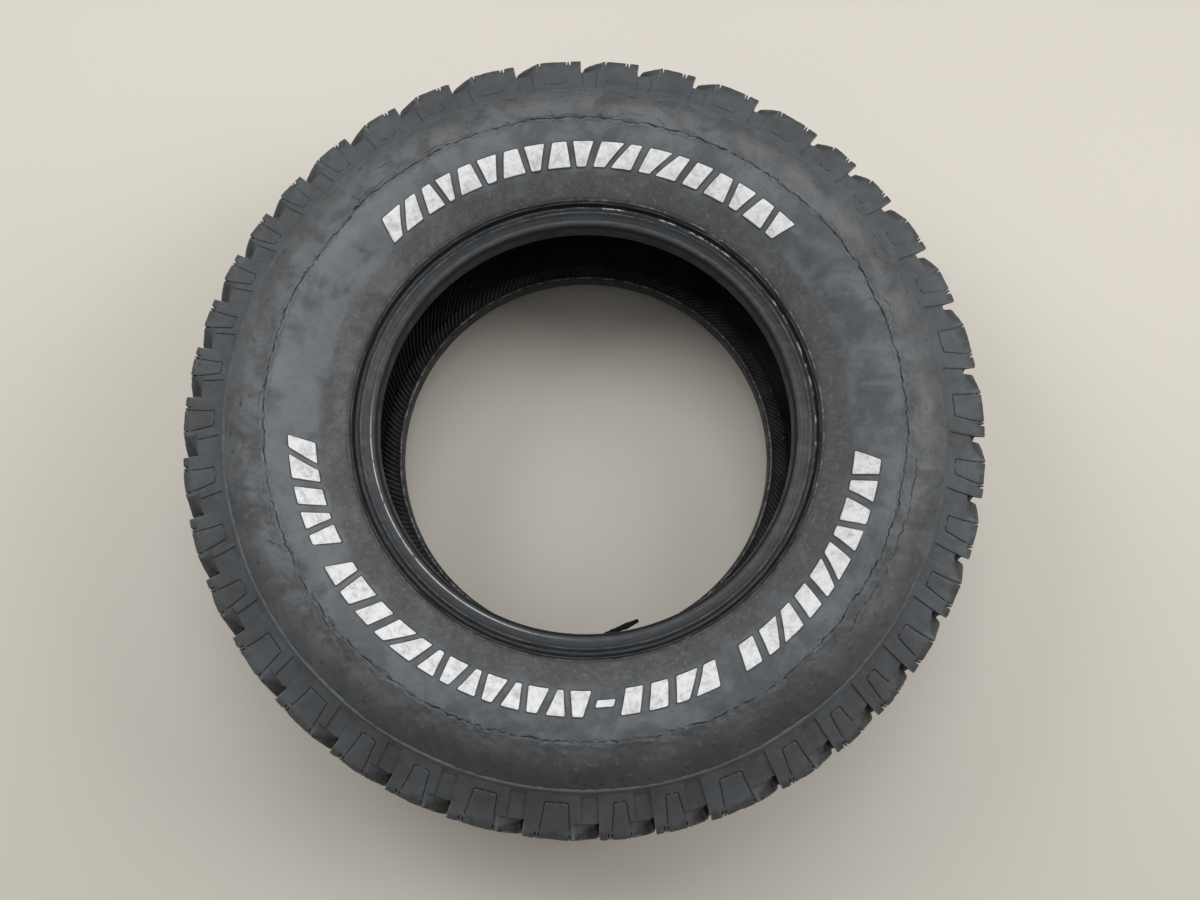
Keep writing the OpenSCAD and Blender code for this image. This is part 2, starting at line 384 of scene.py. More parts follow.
def wide_cuts(x, pitch, r, z, deep=1.0):
    """Distance in mm to the wide cuts round a lug, negative inside: notch, scoop, panel and ring groove."""
    under = (wall_at(r) - z) * WALL_SLOPE
    notch_floor = crown_at(z) - GROOVE_D - (NOTCH_D - GROOVE_D) * smooth(56, 88, z)
    wide = NOTCH_FOOT_W + (NOTCH_W - NOTCH_FOOT_W) * np.clip((r - notch_floor) / NOTCH_D, 0, 1)
    notch = highest([lowest([highest([-x, x - wide]), pitch - x]), notch_floor - r])
    reach = np.clip(1 - x / SCOOP_W, 0, 1)
    ramp = np.clip((r - LIP_R) / (SHOULDER_R - LIP_R), 0, 1)
    scoop_depth = PANEL_D + LIP_D * smooth(0, 0.35, reach) + SCOOP_D * deep * reach**2 * ramp**0.9
    scoop = highest([(wall_at(r) - z - scoop_depth) * 0.7, LIP_R - r, x - SCOOP_W, -x])
    panel_depth = PANEL_D * np.clip((x + 0.4) / 1.4, 0, 1)
    panel = highest([-0.4 - x, x - PANEL_W, PANEL_R - r, under - panel_depth, PANEL_LOW_Z - z])
    groove = highest([z - GROOVE_Z - GROOVE_HALF, crown_at(z) - GROOVE_D - r])
    return lowest([notch, scoop, panel, groove])


def carve(base_r, base_z, aim_r, aim_z, reach, rounding, cut):
    """Moves each point of the uncut surface inwards along its aim until it is clear of every cut."""
    length = np.hypot(aim_r, aim_z)
    aim_r, aim_z = aim_r / length, aim_z / length
    step = 0.25
    depth = np.full(np.broadcast(base_r, cut(base_r, base_z)).shape, reach)
    found = np.zeros(depth.shape, bool)
    last = None
    for i in range(int(reach / step) + 1):
        t = i * step
        clear = soft_min(t, cut(base_r + aim_r * t, base_z + aim_z * t), rounding) + 0 * depth
        inside = (clear >= -1e-6) & ~found
        if last is None:
            depth[inside] = 0
        else:
            share = np.clip(-last / np.maximum(clear - last, 1e-6), 0, 1)
            depth = np.where(inside, t - step + share * step, depth)
        found |= inside
        last = clear
    return base_r + aim_r * depth, base_z + aim_z * depth, depth


def lay_columns(columns_of, radius, centre=0.0):
    """Lays every pitch's columns round the tyre.

    Gives their places, the pitch in mm and where it starts in degrees.
    """
    starts, lengths = lay_pitches()
    per_mm = 180 / math.pi / radius
    places, pitches, begins = [], [], []
    for start, deg in zip(starts, lengths):
        columns = columns_of(deg / per_mm)
        places.append(columns)
        pitches.append(np.full(len(columns), deg / per_mm))
        begins.append(np.full(len(columns), start + deg * centre))
    return np.concatenate(places), np.concatenate(pitches)[None], np.concatenate(begins)[None]


def lug_depths(columns, seed):
    """How deep each lug's scoop is worn, as a factor for every column."""
    rng = np.random.default_rng(seed)
    each = columns // len(PITCHES)
    return np.repeat(rng.uniform(0.8, 1.15, len(PITCHES)), each)[None]


def ahead_of_even(angle):
    """The lugs' own angle: on the +X side they run up to a degree ahead of even spacing."""
    return angle + math.radians(SKEW_DEG) * np.cos(angle - SKEW_AT)


def shoulder_wear(r, z, section, angle, side, seed):
    """How far each point of the shoulder band is worn in: waves all over, and chips at the tread edge."""
    at = r + z
    wear = 0.16 + 0.14 * waves(angle, at, SHOULDER_R, 26, seed)
    wear = wear + 0.09 * waves(angle, at, SHOULDER_R, 7, seed + 1)
    off_r, off_z = section[:, :1] - SHOULDER_R + 1.0, section[:, 1:] - SHOULDER_Z
    near_edge = np.exp(-np.square(off_r / 2.6) - np.square(off_z / 3.2))
    chips = np.clip(np.abs(ragged(angle, SHOULDER_R, 2.6, 1.0, seed + 2)) - 0.4, 0, 1)
    frayed = 0.4 + 1.5 * smooth(0.3, 0.9, np.cos(angle - math.pi / 2)) * side
    chips = chips * (frayed + 0.4 * waves(angle, 0, SHOULDER_R, 160, seed + 3))
    return np.clip(wear, 0, 1) + np.clip(chips, 0, 2.4) * near_edge


def shoulder_band(name, side, seed):
    """The row of lugs from a ring groove over the tread edge and down to the mould rib, finer on top."""
    places, pitch, begin = lay_columns(lambda mm: lug_columns(mm, side > 0), SHOULDER_R)
    tread, foot = places[:, 0][None], places[:, 1][None]
    section = lug_rows(side > 0)
    base_r, base_z = section[:, :1], section[:, 1:]
    x = tread + (foot - tread) * smooth(SHOULDER_R - 2, OUTLINE_R, base_r)
    lean = smooth(74, 96, base_z)
    aim_r = -(1 - lean) + (AIM_R - base_r) / AIM_AWAY * lean
    aim_z = (AIM_Z - base_z) / AIM_AWAY * lean
    deep = lug_depths(pitch.shape[1], seed + 6)
    degrees = begin + tread / SHOULDER_R * 180 / math.pi
    rubbed = smooth(200, 240, degrees) * smooth(352, 325, degrees) if side > 0 else 0.0

    def cuts(rr, zz):
        return lowest([fine_cuts(x, pitch, rr, zz, rubbed), wide_cuts(x, pitch, rr, zz, deep)])

    r, z, depth = carve(base_r, base_z, aim_r, aim_z, CUT_REACH, CUT_ROUND, cuts)
    # The thin cuts, which the material darkens with painted shade.
    thin = (fine_cuts(x, pitch, base_r - 0.2, base_z - 0.1) < 0.1) * np.clip(depth / 0.8, 0, 1)
    thin = thin * (0.65 + 0.6 * np.exp(-np.square((base_r - OUTLINE_R) / 2.0)))
    first, last, _ = lug_places(pitch)
    block = smooth(first - 9, first - 4, tread) * smooth(last + 2.5, last + 1, tread)
    zig = 1.6 * triangle(base_z / 8.0) * smooth(88, 60, base_z) * smooth(45, 52, base_z) * block
    slant = -SLOT_LEAN * np.clip(1 - np.abs(z - SLOT_BEND_Z) / 22, 0, 1)
    angle = ahead_of_even(np.radians(begin + (x + zig + slant) / SHOULDER_R * 180 / math.pi))
    z = z + 2.0 * triangle(x / pitch * 2) * smooth(56, 44, base_z)
    wear = shoulder_wear(r, z, section, angle, side, seed)
    length = np.hypot(aim_r, aim_z)
    r, z = r + aim_r / length * wear, z + aim_z / length * wear
    rib = rib_rows()
    under = [(RIB_R + 4, 103.0), (352.0, 92.0), (LINER_CROWN_R + 1, 74.0), (LINER_CROWN_R + 1.3, GROOVE_Z)]
    rest = np.concatenate([rib, np.array(under)])
    rest_angle = np.repeat(angle[-1:], len(rest), 0)
    uneven = np.zeros(rest_angle.shape)
    uneven[: len(rib)] = 0.12 * waves(angle[-1:], 0, RIB_R, 9, seed + 5)
    r = np.concatenate([r, rest[:, :1] + 0 * rest_angle])
    z = np.concatenate([z, rest[:, 1:] + uneven])
    none = np.zeros(rest_angle.shape)
    depth, thin = np.concatenate([depth, none]), np.concatenate([thin + none[:1], none])
    # carve and line carry painted shade into the cuts; edge carries pale wear on edges and painted shade in
    # hollows.
    return ring_piece(name, r, z, np.concatenate([angle, rest_angle]), side=side,
                      carve=depth / NOTCH_D, line=thin, edge=edge_wear_and_hollow_shade(r, z))


# ---------------------------------------------------------------- middle of the tread

SLANT = math.tan(math.radians(28))
MIDDLE_SLOT_W = 6.0
MIDDLE_D = 6.0
CENTRE_W = 5.0


def middle_columns(pitch):
    """Columns of one pitch across the middle ribs, in mm from the slanted slot's middle."""
    half = MIDDLE_SLOT_W / 2
    slot = [-half - 0.35, -half + 0.35, 0, half - 0.35, half + 0.35]
    sipes = [half + (pitch - MIDDLE_SLOT_W) * t for t in (0.25, 0.5, 0.75)]
    columns = slot + [s + d for s in sipes for d in (-0.9, -0.3, 0.3, 0.9)]
    gaps = [half + (pitch - MIDDLE_SLOT_W) * t for t in (0.06, 0.125, 0.19, 0.375, 0.625, 0.81, 0.875, 0.94)]
    return np.array(sorted(columns + gaps))


def cut_middle(x, pitch, r, z):
    """Distance in mm to the slots, sipes and grooves of the middle ribs, negative inside."""
    half = MIDDLE_SLOT_W / 2
    slot = highest([lowest([np.abs(x), np.abs(pitch - x)]) - half, crown_at(z) - MIDDLE_D - r])
    sipe = lowest([np.abs(x - half - (pitch - MIDDLE_SLOT_W) * t) for t in (0.25, 0.5, 0.75)]) - SIPE_HALF
    sipe = highest([sipe, crown_at(z) - SIPE_D - r, 11 - np.abs(z), np.abs(z) - 30])
    ring = highest([GROOVE_Z - GROOVE_HALF - np.abs(z), crown_at(z) - GROOVE_D - r])
    centre = highest([np.abs(z) - CENTRE_W / 2, crown_at(z) - MIDDLE_D - r])
    return lowest([slot, sipe, ring, centre])


def middle_band(name, seed):
    """The two ribs of blocks between the ring grooves."""
    places, pitch, begin = lay_columns(middle_columns, CROWN_R, 0.5)
    x = places[None]
    block = [3.2, 6.4, 9.6, 12.8, 16, 19.2, 22.4, 25.6]
    grooves = [GROOVE_Z - GROOVE_HALF - 0.4, GROOVE_Z - GROOVE_HALF + 0.4, GROOVE_Z - 2.2, GROOVE_Z]
    half = [0.0, CENTRE_W / 2 - 0.35, CENTRE_W / 2 + 0.35] + [CENTRE_W / 2 + b for b in block] + grooves
    base_z = np.concatenate([-np.array(half)[:0:-1], half])[:, None]
    base_r = crown_at(base_z)
    r, z, depth = carve(base_r, base_z, -1.0, 0.0, 9.0, CUT_ROUND,
                        lambda rr, zz: cut_middle(x, pitch, rr, zz))
    inner = smooth(30, 6, np.abs(base_z))
    z = z + 4.5 * triangle(x / pitch * 2 + 0.25) * inner
    sway = 1.3 * triangle(base_z / 6.4) * smooth(32, 26, np.abs(base_z))
    angle = ahead_of_even(np.radians(begin + (x + base_z * SLANT + sway) / CROWN_R * 180 / math.pi))
    wear = 0.2 + 0.12 * waves(angle, z, CROWN_R, 20, seed) + 0.08 * waves(angle, z, CROWN_R, 6, seed + 1)
    r = r - np.clip(wear, 0, 1)
    under = np.array([(LINER_CROWN_R + 2, GROOVE_Z), (LINER_CROWN_R + 2, -GROOVE_Z)])
    none = np.zeros((2, x.shape[1]))
    r = np.concatenate([r, under[:, :1] + none])[::-1]
    z = np.concatenate([z, under[:, 1:] + none])[::-1]
    angle = np.concatenate([angle, angle[-1:], angle[:1]])[::-1]
    depth = np.concatenate([depth, none])[::-1]
    # carve and line carry painted shade into the deep cuts.
    return ring_piece(name, r, z, angle, carve=depth / NOTCH_D, line=np.clip(depth - 3, 0, 1) * 0.5,
                      edge=edge_wear_and_hollow_shade(r, z))


# ---------------------------------------------------------------- sidewalls, beads and liner


TORN_RISE = 3.4

# Cracks along the tyre: first and last angle in degrees clockwise, and mm outside the torn edge.
LONG_CRACKS = ((5, 39, 10.0), (219, 247, 3.2), (250, 278, 1.8))

# Cracks across it: angle, first and last mm outside the torn edge, and how far they slant.
SHORT_CRACKS = ((219.5, 2, 14, -0.15), (39, 0, 11, 0.7), (151, 4, 15, 0.9), (141, 0, 7, 0.2),
                (171, 8, 17, -0.8), (178, 12, 19, 0.5), (281, 1, 9, -1.1), (333, -8, -2, 1.4),
                (337, -14, -4, 1.6))

# Fine strands beside it: mm outside the torn edge, and how far they swing.
STRANDS = ((0.0, 0.6), (2.2, 1.7), (-1.7, 1.5), (6.0, 4.2), (11.0, 5.5))


def torn_line(angle):
    """Radius of the torn edge between the smooth band and the rough outer rubber."""
    degrees = np.degrees(angle)
    lifted = TORN_RISE * smooth(212, 222, degrees) * smooth(290, 264, degrees)
    slow = 0.4 * waves(angle, 0, STEP_R, 190, 41, 8)
    return STEP_R + lifted + slow + ragged(angle, STEP_R, 16, 0.9, 42) + ragged(angle, STEP_R, 3.6, 1.1, 43)


def side_cracks(angle, past):
    """Distance in mm to the nearest of the cracks that run beside the torn edge and leave it in places."""
    degrees = np.degrees(angle) + 0 * past
    strands = []
    for first, last, off in LONG_CRACKS:
        line = off + ragged(angle, STEP_R, 7, 1.0, int(first)) + ragged(angle, STEP_R, 2.6, 0.6, int(last))
        outside = np.maximum(first - degrees, degrees - last) * math.radians(STEP_R)
        strands.append(np.clip(np.abs(past - line) - 0.3, 0, 9) + np.clip(outside, 0, 9))
    for at, low, high, lean in SHORT_CRACKS:
        across = (degrees - at) * math.radians(STEP_R) - lean * (past - low)
        across = across + ragged(past * 0.4, 1, 0.4, 0.7, int(at))
        outside = np.maximum(low - past, past - high)
        strands.append(np.clip(np.abs(across) - 0.3, 0, 9) + np.clip(outside, 0, 9))
    for k, (off, swing) in enumerate(STRANDS):
        line = off + swing * waves(angle, 0, STEP_R, 34, 50 + k, 8) * 0.5
        line = line + ragged(angle, STEP_R, 6, 1.2, 60 + k) + ragged(angle, STEP_R, 3, 0.6, 70 + k)
        present = 0.0 if k == 0 else 0.4 + 1.2 * k * 0.4 - waves(angle, 0, STEP_R, 60, 80 + k, 8)
        strands.append(np.abs(past - line) + np.clip(present, 0, 3))
    return lowest(strands)


def sidewall_band(name, side, columns, seed):
    """The sidewall from the mould rib to the clinch ring, with the torn step part of the way down."""
    outer = [*np.linspace(RIB_R + 0.6, STEP_R + 15, 9), *np.linspace(STEP_R + 13, STEP_R + 3.4, 13)]
    step = [STEP_R + d for d in (2.2, 1.1, 0.4, 0.0, -0.4, -1.1, -2.2)]
    inner = [*np.linspace(STEP_R - 3.6, CLINCH_R + 2, 18), CLINCH_R, CLINCH_R - 2.2, CLINCH_R - 3.4]
    base_r = np.array(outer + step + inner)[:, None]
    angle = np.linspace(0, 2 * math.pi, columns, endpoint=False)[None]
    torn = torn_line(angle) if side > 0 else STEP_R + 0 * angle
    pull = smooth(RIB_R - 4, STEP_R + 3, base_r) * smooth(CLINCH_R + 8, STEP_R - 3, base_r)
    r = base_r + (torn - STEP_R) * pull
    z = wall_at(r)
    past = base_r - STEP_R
    layer = 0.7 if side > 0 else 0.25
    z = z - layer * smooth(0.5, -0.5, past) * smooth(-16, -2, past) + 0 * angle
    groove = np.exp(-np.square(past / 0.42)) * (0.85 + 0.5 * waves(angle, 0, STEP_R, 12, seed + 4, 8))
    flaps = np.clip(waves(angle, 0, STEP_R, 9, seed + 5, 8), 0, 2)
    lifted = np.exp(-np.square((past - 1.6) / 1.3)) * flaps * 0.35
    z = z - np.clip(groove, 0.2, 2) * (1.0 if side > 0 else 0.3) + lifted * (1 if side > 0 else 0)
    z = z - np.clip(CLINCH_R + 1 - base_r, 0, 9) ** 1.25 * 0.55
    rough = smooth(-3, 3, past)
    swell = 0.30 * waves(angle, base_r, BELLY_R, 60, seed)
    grit = 0.11 * waves(angle, base_r, BELLY_R, 9, seed + 1) * (0.35 + rough)
    fine = 0.03 * waves(angle, base_r, BELLY_R, 4, seed + 2) * rough
    scuff = np.clip(waves(angle, base_r, BELLY_R, 16, seed + 3) - 1.5, 0, 1) * 0.4 * rough
    z = z - 0.35 + swell * 0.6 + grit + fine - scuff
    crack = side_cracks(angle, past) if side > 0 else 9.0 + 0 * z
    back = [(CLINCH_R + 4, CLINCH_Z - 4), (262.0, 104.0), (BELLY_R, HALF_H - 6), (RIB_R - 2, 107.0)]
    back = np.array(back)
    z = np.concatenate([z, back[:, 1:] + 0 * angle])
    r = np.concatenate([r + 0 * angle, back[:, :1] + 0 * angle])
    crack = np.concatenate([crack, 9.0 + 0 * back[:, :1] + 0 * angle])
    angle = np.repeat(angle, len(r), 0)
    return ring_piece(name, r, z, angle, side=side, edge=edge_wear_and_hollow_shade(r, z, 0.3), crack=crack)


CHAFE_R = FLANGE_R + 4.9


# The bead from the clinch ring to the flange face: mm out from a ring, and up from its height.
CLINCH_STEPS = ((1.0, -1.6), (-1.0, -1.6), (-2.2, -2.4), (-3.2, -4.0), (-3.8, -6.2))
FLANGE_STEPS = ((5.4, -0.3), (4.4, -0.3), (3.0, -1.0), (2.0, -0.7), (1.0, 0.1), (0.0, 0.4), (-1.2, -0.2))


def bead_rows():
    """The bead's section from the clinch ring over the heel and toe to the liner."""
    rows = [(CLINCH_R + out, CLINCH_Z + up) for out, up in CLINCH_STEPS]
    rows += [(CLINCH_R - 4.6, FLANGE_Z - 0.9)]
    rows += [(FLANGE_R + out, FLANGE_Z + up) for out, up in FLANGE_STEPS]
    start, end = np.array(rows[-1]), np.array([BORE_R + HEEL_ROUND + 0.8, HEEL_Z + HEEL_ROUND + 0.1])
    for t in np.linspace(0.2, 1, 5):
        rows.append(tuple(start + (end - start) * t - (0, 0.35 * math.sin(math.pi * t))))
    for a in np.linspace(0.15, math.pi / 2, 6):
        rows.append((BORE_R + HEEL_ROUND - HEEL_ROUND * math.sin(a), HEEL_Z + HEEL_ROUND * math.cos(a)))
    rows += [(BORE_R, HEEL_Z - d) for d in (3.5, 7.0, 10.5, SIZE["seat_l"])]
    rows += [(BORE_R + 0.5, TOE_Z + 0.7), (BORE_R + 1.2, TOE_Z + 0.1), (BORE_R + 2.6, TOE_Z)]
    start, end = np.array(rows[-1]), np.array([BEAD_IN_R + 3, BEAD_IN_Z + 1.6])
    rows += [tuple(start + (end - start) * t) for t in (0.2, 0.4, 0.6, 0.8, 1.0)]
    return np.array(rows)


def bead_band(name, side, columns, seed):
    """One bead: clinch groove, flange face, heel, seat and toe."""
    section = bead_rows()
    angle = np.linspace(0, 2 * math.pi, columns, endpoint=False)[None]
    r, z = section[:, :1] + 0 * angle, section[:, 1:] + 0 * angle
    along = np.arange(len(section))[:, None] * 3.0
    chafe = np.exp(-np.square((r - CHAFE_R) / 1.4))
    z = z - 0.10 - 0.08 * waves(angle, along, FLANGE_R, 12, seed)
    z = z - chafe * np.clip(np.abs(ragged(angle, FLANGE_R, 3.2, 1.0, seed + 1)) - 0.4, 0, 1) * 0.8
    off_r, off_z = section[:, :1] - BORE_R - 0.8, section[:, 1:] - TOE_Z
    toe = np.exp(-np.square(off_z / 1.2) - np.square(off_r / 2.2))
    r = r + toe * (0.5 + 0.9 * np.abs(ragged(angle, BORE_R, 2.4, 1.0, seed + 2)))
    z = z + toe * 0.8 * np.abs(ragged(angle, BORE_R, 3.1, 1.0, seed + 3))
    back = np.array([(BEAD_IN_R + 8, BEAD_IN_Z + 8), (CLINCH_R + 1.5, FLANGE_Z + 1.0)])
    r = np.concatenate([r, back[:, :1] + 0 * angle])
    z = np.concatenate([z, back[:, 1:] + 0 * angle])
    angle = np.repeat(angle, len(r), 0)
    return ring_piece(name, r, z, angle, side=side, edge=edge_wear_and_hollow_shade(r, z, 0.4))


def liner_rows(half_rows):
    """The inner surface from the toe of the upper bead round the crown to the toe of the lower bead."""
    t = np.linspace(0, 1, half_rows)
    low_r = BEAD_IN_R + (BELLY_R - BEAD_IN_R) * t
    low_z = BEAD_IN_Z + (LINER_BELLY_Z - BEAD_IN_Z) * np.sin(t * math.pi / 2)
    a = np.linspace(0, math.pi / 2, half_rows + 1)[1:]
    high_r = BELLY_R + (LINER_CROWN_R - BELLY_R) * np.sin(a)
    fall = np.power(np.clip(np.cos(a), 0, 1), 0.8)
    high_z = LINER_SHOULDER_Z + (LINER_BELLY_Z - LINER_SHOULDER_Z) * fall
    foot = np.array([(BORE_R + 3.7, TOE_Z + 0.3), (BORE_R + 9.2, TOE_Z + 3.1), (BORE_R + 14.7, TOE_Z + 6.0)])
    upper = np.concatenate([foot, np.stack([low_r, low_z], 1), np.stack([high_r, high_z], 1)])
    crown = np.array([(LINER_CROWN_R, z) for z in (36.0, 12.0, -12.0, -36.0)])
    return np.concatenate([upper, crown, upper[::-1] * (1, -1)])


LINER_RIBS = 240
RIB_SHAPE = np.array([0.0, 0.15, 0.95, 1.0, 0.5])


def liner_band(name, seed):
    """The inside of the tyre, with the fine slanted ribs that the curing bladder leaves."""
    columns = LINER_RIBS * len(RIB_SHAPE)
    section = liner_rows(10)[::-1]
    rows = len(section)
    step = np.hypot(*np.diff(section, axis=0).T)
    along = np.concatenate(([0], np.cumsum(step)))[:, None]
    whole = along[-1]
    base = np.linspace(0, 2 * math.pi, columns, endpoint=False)[None]
    lean = -0.8 * np.abs(along - whole / 2) / (whole / 2)
    angle = base + lean
    ridge = np.tile(RIB_SHAPE, LINER_RIBS)[None]
    near_bead = smooth(0, 60, along) * 0.3 + smooth(120, 20, along) + smooth(whole - 120, whole - 20, along)
    fade = np.clip(near_bead, 0.3, 1) * smooth(-2, 5, along) * smooth(whole + 2, whole - 5, along)
    ahead = np.roll(section, -1, 0) - np.roll(section, 1, 0)
    ahead[0], ahead[-1] = section[1] - section[0], section[-1] - section[-2]
    normal = np.stack([ahead[:, 1], -ahead[:, 0]], 1) / np.hypot(*ahead.T)[:, None]
    lift = ridge * fade + 0.1 * waves(angle, along, BELLY_R, 14, seed)
    r = section[:, :1] - normal[:, :1] * lift
    z = section[:, 1:] - normal[:, 1:] * lift
    back = section[::-1][[2, 8, 16, rows // 2, rows - 17, rows - 9, rows - 3]]
    middle = np.array([LINER_CROWN_R - 75, 0.0])
    out = back + (back - middle) / np.hypot(*(back - middle).T)[:, None] * 2.5
    r = np.concatenate([r, out[:, :1] + 0 * base])
    z = np.concatenate([z, out[:, 1:] + 0 * base])
    angle = np.concatenate([angle, np.repeat(base + lean[-1], len(out), 0)])
    # The rib crests, where the material paints a highlight.
    crest = np.concatenate([ridge * fade, 0 * out[:, :1] + 0 * base])
    return ring_piece(name, r, z, angle, edge=crest)


# ---------------------------------------------------------------- raised marks and torn scraps

MARK_R = CLINCH_R + 36.0
MARK_TALL = 22.0
MARK_SLANT = 0.34
MARK_GAP_DEG = 1.4
SQUARE = ((0.0, 0.0), (1.0, 0.0), (1.0, 1.0), (0.0, 1.0))
BLOCKS = {
    "N": (SQUARE,),
    "D": (((0.0, 0.36), (1.0, 0.36), (1.0, 0.64), (0.0, 0.64)),),
    "M": (((0.0, 0.0), (0.62, 0.0), (0.28, 1.0), (0.0, 1.0)),
          ((0.82, 0.0), (1.0, 0.0), (1.0, 1.0), (0.48, 1.0))),
    "W": (((0.0, 0.0), (0.60, 0.0), (0.34, 1.0), (0.0, 1.0)),
          ((0.76, 0.0), (1.0, 0.0), (1.0, 1.0), (0.50, 1.0))),
    "V": (((0.0, 0.0), (0.30, 0.0), (0.56, 1.0), (0.0, 1.0)),
          ((0.46, 0.0), (1.0, 0.0), (1.0, 1.0), (0.72, 1.0))),
}


def block_outline(corners, wide, tall, rounding=1.4):
    """Points round a slanted block with rounded corners, evenly spread, about the middle of its slot."""
    corners = (np.array(corners) - 0.5) * (wide, tall)
    before, after = np.roll(corners, 1, 0), np.roll(corners, -1, 0)
    points = []
    for here, prev, nxt in zip(corners, before, after):
        start = here + (prev - here) / np.linalg.norm(prev - here) * rounding
        end = here + (nxt - here) / np.linalg.norm(nxt - here) * rounding
        points += [(1 - t) ** 2 * start + 2 * t * (1 - t) * here + t * t * end for t in (0, 0.3, 0.7, 1)]
    points = np.array(points)
    dense = []
    for here, nxt in zip(points, np.roll(points, -1, 0)):
        count = max(1, round(np.linalg.norm(nxt - here) / 2.0))
        dense += [here + (nxt - here) * k / count for k in range(count)]
    x, y = np.array(dense).T
    return x + MARK_SLANT * y, y


def raised_block(centre_deg, outline, height):
    """One block as a closed shell that follows the sidewall: rings of points from its foot to its middle."""
    x, y = outline
    mid_x, mid_y = x.mean(), y.mean()
    rings = ((-1.0, -1.2), (-1.0, 0.45), (-0.2, 0.5), (0.0, height - 0.2), (0.45, height), (1.1, height))
    rings += ((2.2, height),)
    span = np.hypot(x - mid_x, y - mid_y)
    points = []
    for inset, up in rings + (("half", height), ("middle", height), ("middle", -1.2)):
        keep = {"half": 0.4, "middle": 0.02}.get(inset) or np.maximum(1 - inset / span, 0.45)
        px, py = mid_x + (x - mid_x) * keep, mid_y + (y - mid_y) * keep
        r = MARK_R + py
        a = math.radians(centre_deg) + px / MARK_R
        points.append(np.stack([r * np.cos(a), -r * np.sin(a), wall_at(r) + up - 0.55 + HALF_H], 1))
    count, rows = len(x), len(points)
    index = np.arange(rows * count).reshape(rows, count)
    nxt = np.roll(index, -1, 1)
    faces = np.stack([index, nxt, np.roll(nxt, -1, 0), np.roll(index, -1, 0)], -1).reshape(-1, 4)
    rim = np.repeat([1, 1, 1, 0.9, 0.35, 0.1, 0, 0, 0, 0], count)
    return np.concatenate(points), faces, rim


def raised_marks(name, height, seed):
    """The runs of plain pale blocks on the upper sidewall."""
    rng = np.random.default_rng(seed)
    points, faces, rims, used = [], [], [], 0
    for start, kinds in MARK_RUNS:
        at = start
        for kind in kinds:
            deg = MARK_DEG[kind]
            wide = math.radians(deg) * MARK_R - 1.2
            shape = "V" if kind == "W" and rng.random() < 0.5 else kind
            for corners in BLOCKS[shape]:
                p, f, rim = raised_block(at + deg / 2, block_outline(corners, wide, MARK_TALL), height)
                points.append(p)
                faces.append(f + used)
                rims.append(rim)
                used += len(p)
            at += deg + MARK_GAP_DEG
    rims = {"edge": np.concatenate(rims)}
    return mesh_piece(name, np.concatenate(points) * MM, np.concatenate(faces), 50, rims)


def shred(path, wide, thick, rng):
    """A torn sliver: a tapering four-sided bar along a path of points."""
    path = np.asarray(path, float)
    count = len(path)
    ahead = np.gradient(path, axis=0)
    ahead /= np.linalg.norm(ahead, axis=1)[:, None]
    across = np.cross(ahead, (0, 0, 1.0))
    across /= np.linalg.norm(across, axis=1)[:, None] + 1e-9
    up = np.cross(across, ahead)
    taper = np.sin(np.linspace(0.25, 1, count) * math.pi)[:, None] ** 0.7
    taper = taper * rng.uniform(0.7, 1.2, (count, 1)) + 0.05
    ring = [across * wide, up * thick, -across * wide, -up * thick]
    points = np.stack([path + side * taper / 2 for side in ring], 1)
    index = np.arange(count * 4).reshape(count, 4)
    nxt = np.roll(index, -1, 1)
    quads = np.stack([index[:-1], nxt[:-1], nxt[1:], index[1:]], -1).reshape(-1, 4)
    caps = np.array([index[0][::-1], index[-1]])
    return points.reshape(-1, 3), np.concatenate([quads, caps])


def torn_scraps(name, seed):
    """Hair-thin shreds along the toes of both beads, and one long sliver on the near side."""
    rng = np.random.default_rng(seed)
    points, faces, used = [], [], 0
    for side in (1, -1):
        for _ in range(150):
            at = rng.uniform(0, 2 * math.pi)
            length = rng.uniform(1.0, 4.0)
            r0 = BORE_R + 1.4
            steps = np.linspace(0, 1, 4)
            bend = rng.uniform(-0.6, 0.6)
            r = r0 - 0.9 * length * steps * rng.uniform(0.3, 1.0)
            a = at + bend * length * steps / r0
            z = side * (TOE_Z + 0.6 + rng.uniform(-0.5, 0.8) * length * steps * 0.5)
            path = np.stack([r * np.cos(a), -r * np.sin(a), z + HALF_H], 1)
            p, f = shred(path, rng.uniform(0.4, 1.0), rng.uniform(0.2, 0.4), rng)
            points.append(p)
            faces.append(f + used)
            used += len(p)
    steps = np.linspace(0, 1, 14)
    a = np.radians(71.5 + 11 * steps)
    r = BORE_R + 1.0 - 8.0 * (1 - steps)
    z = TOE_Z - 3.0 + 5.0 * steps
    path = np.stack([r * np.cos(a), -r * np.sin(a), z + HALF_H], 1)
    p, f = shred(path, 4.8, 2.2, rng)
    points.append(p)
    faces.append(f + used)
    return mesh_piece(name, np.concatenate(points) * MM, np.concatenate(faces), 60)


# ---------------------------------------------------------------- materials


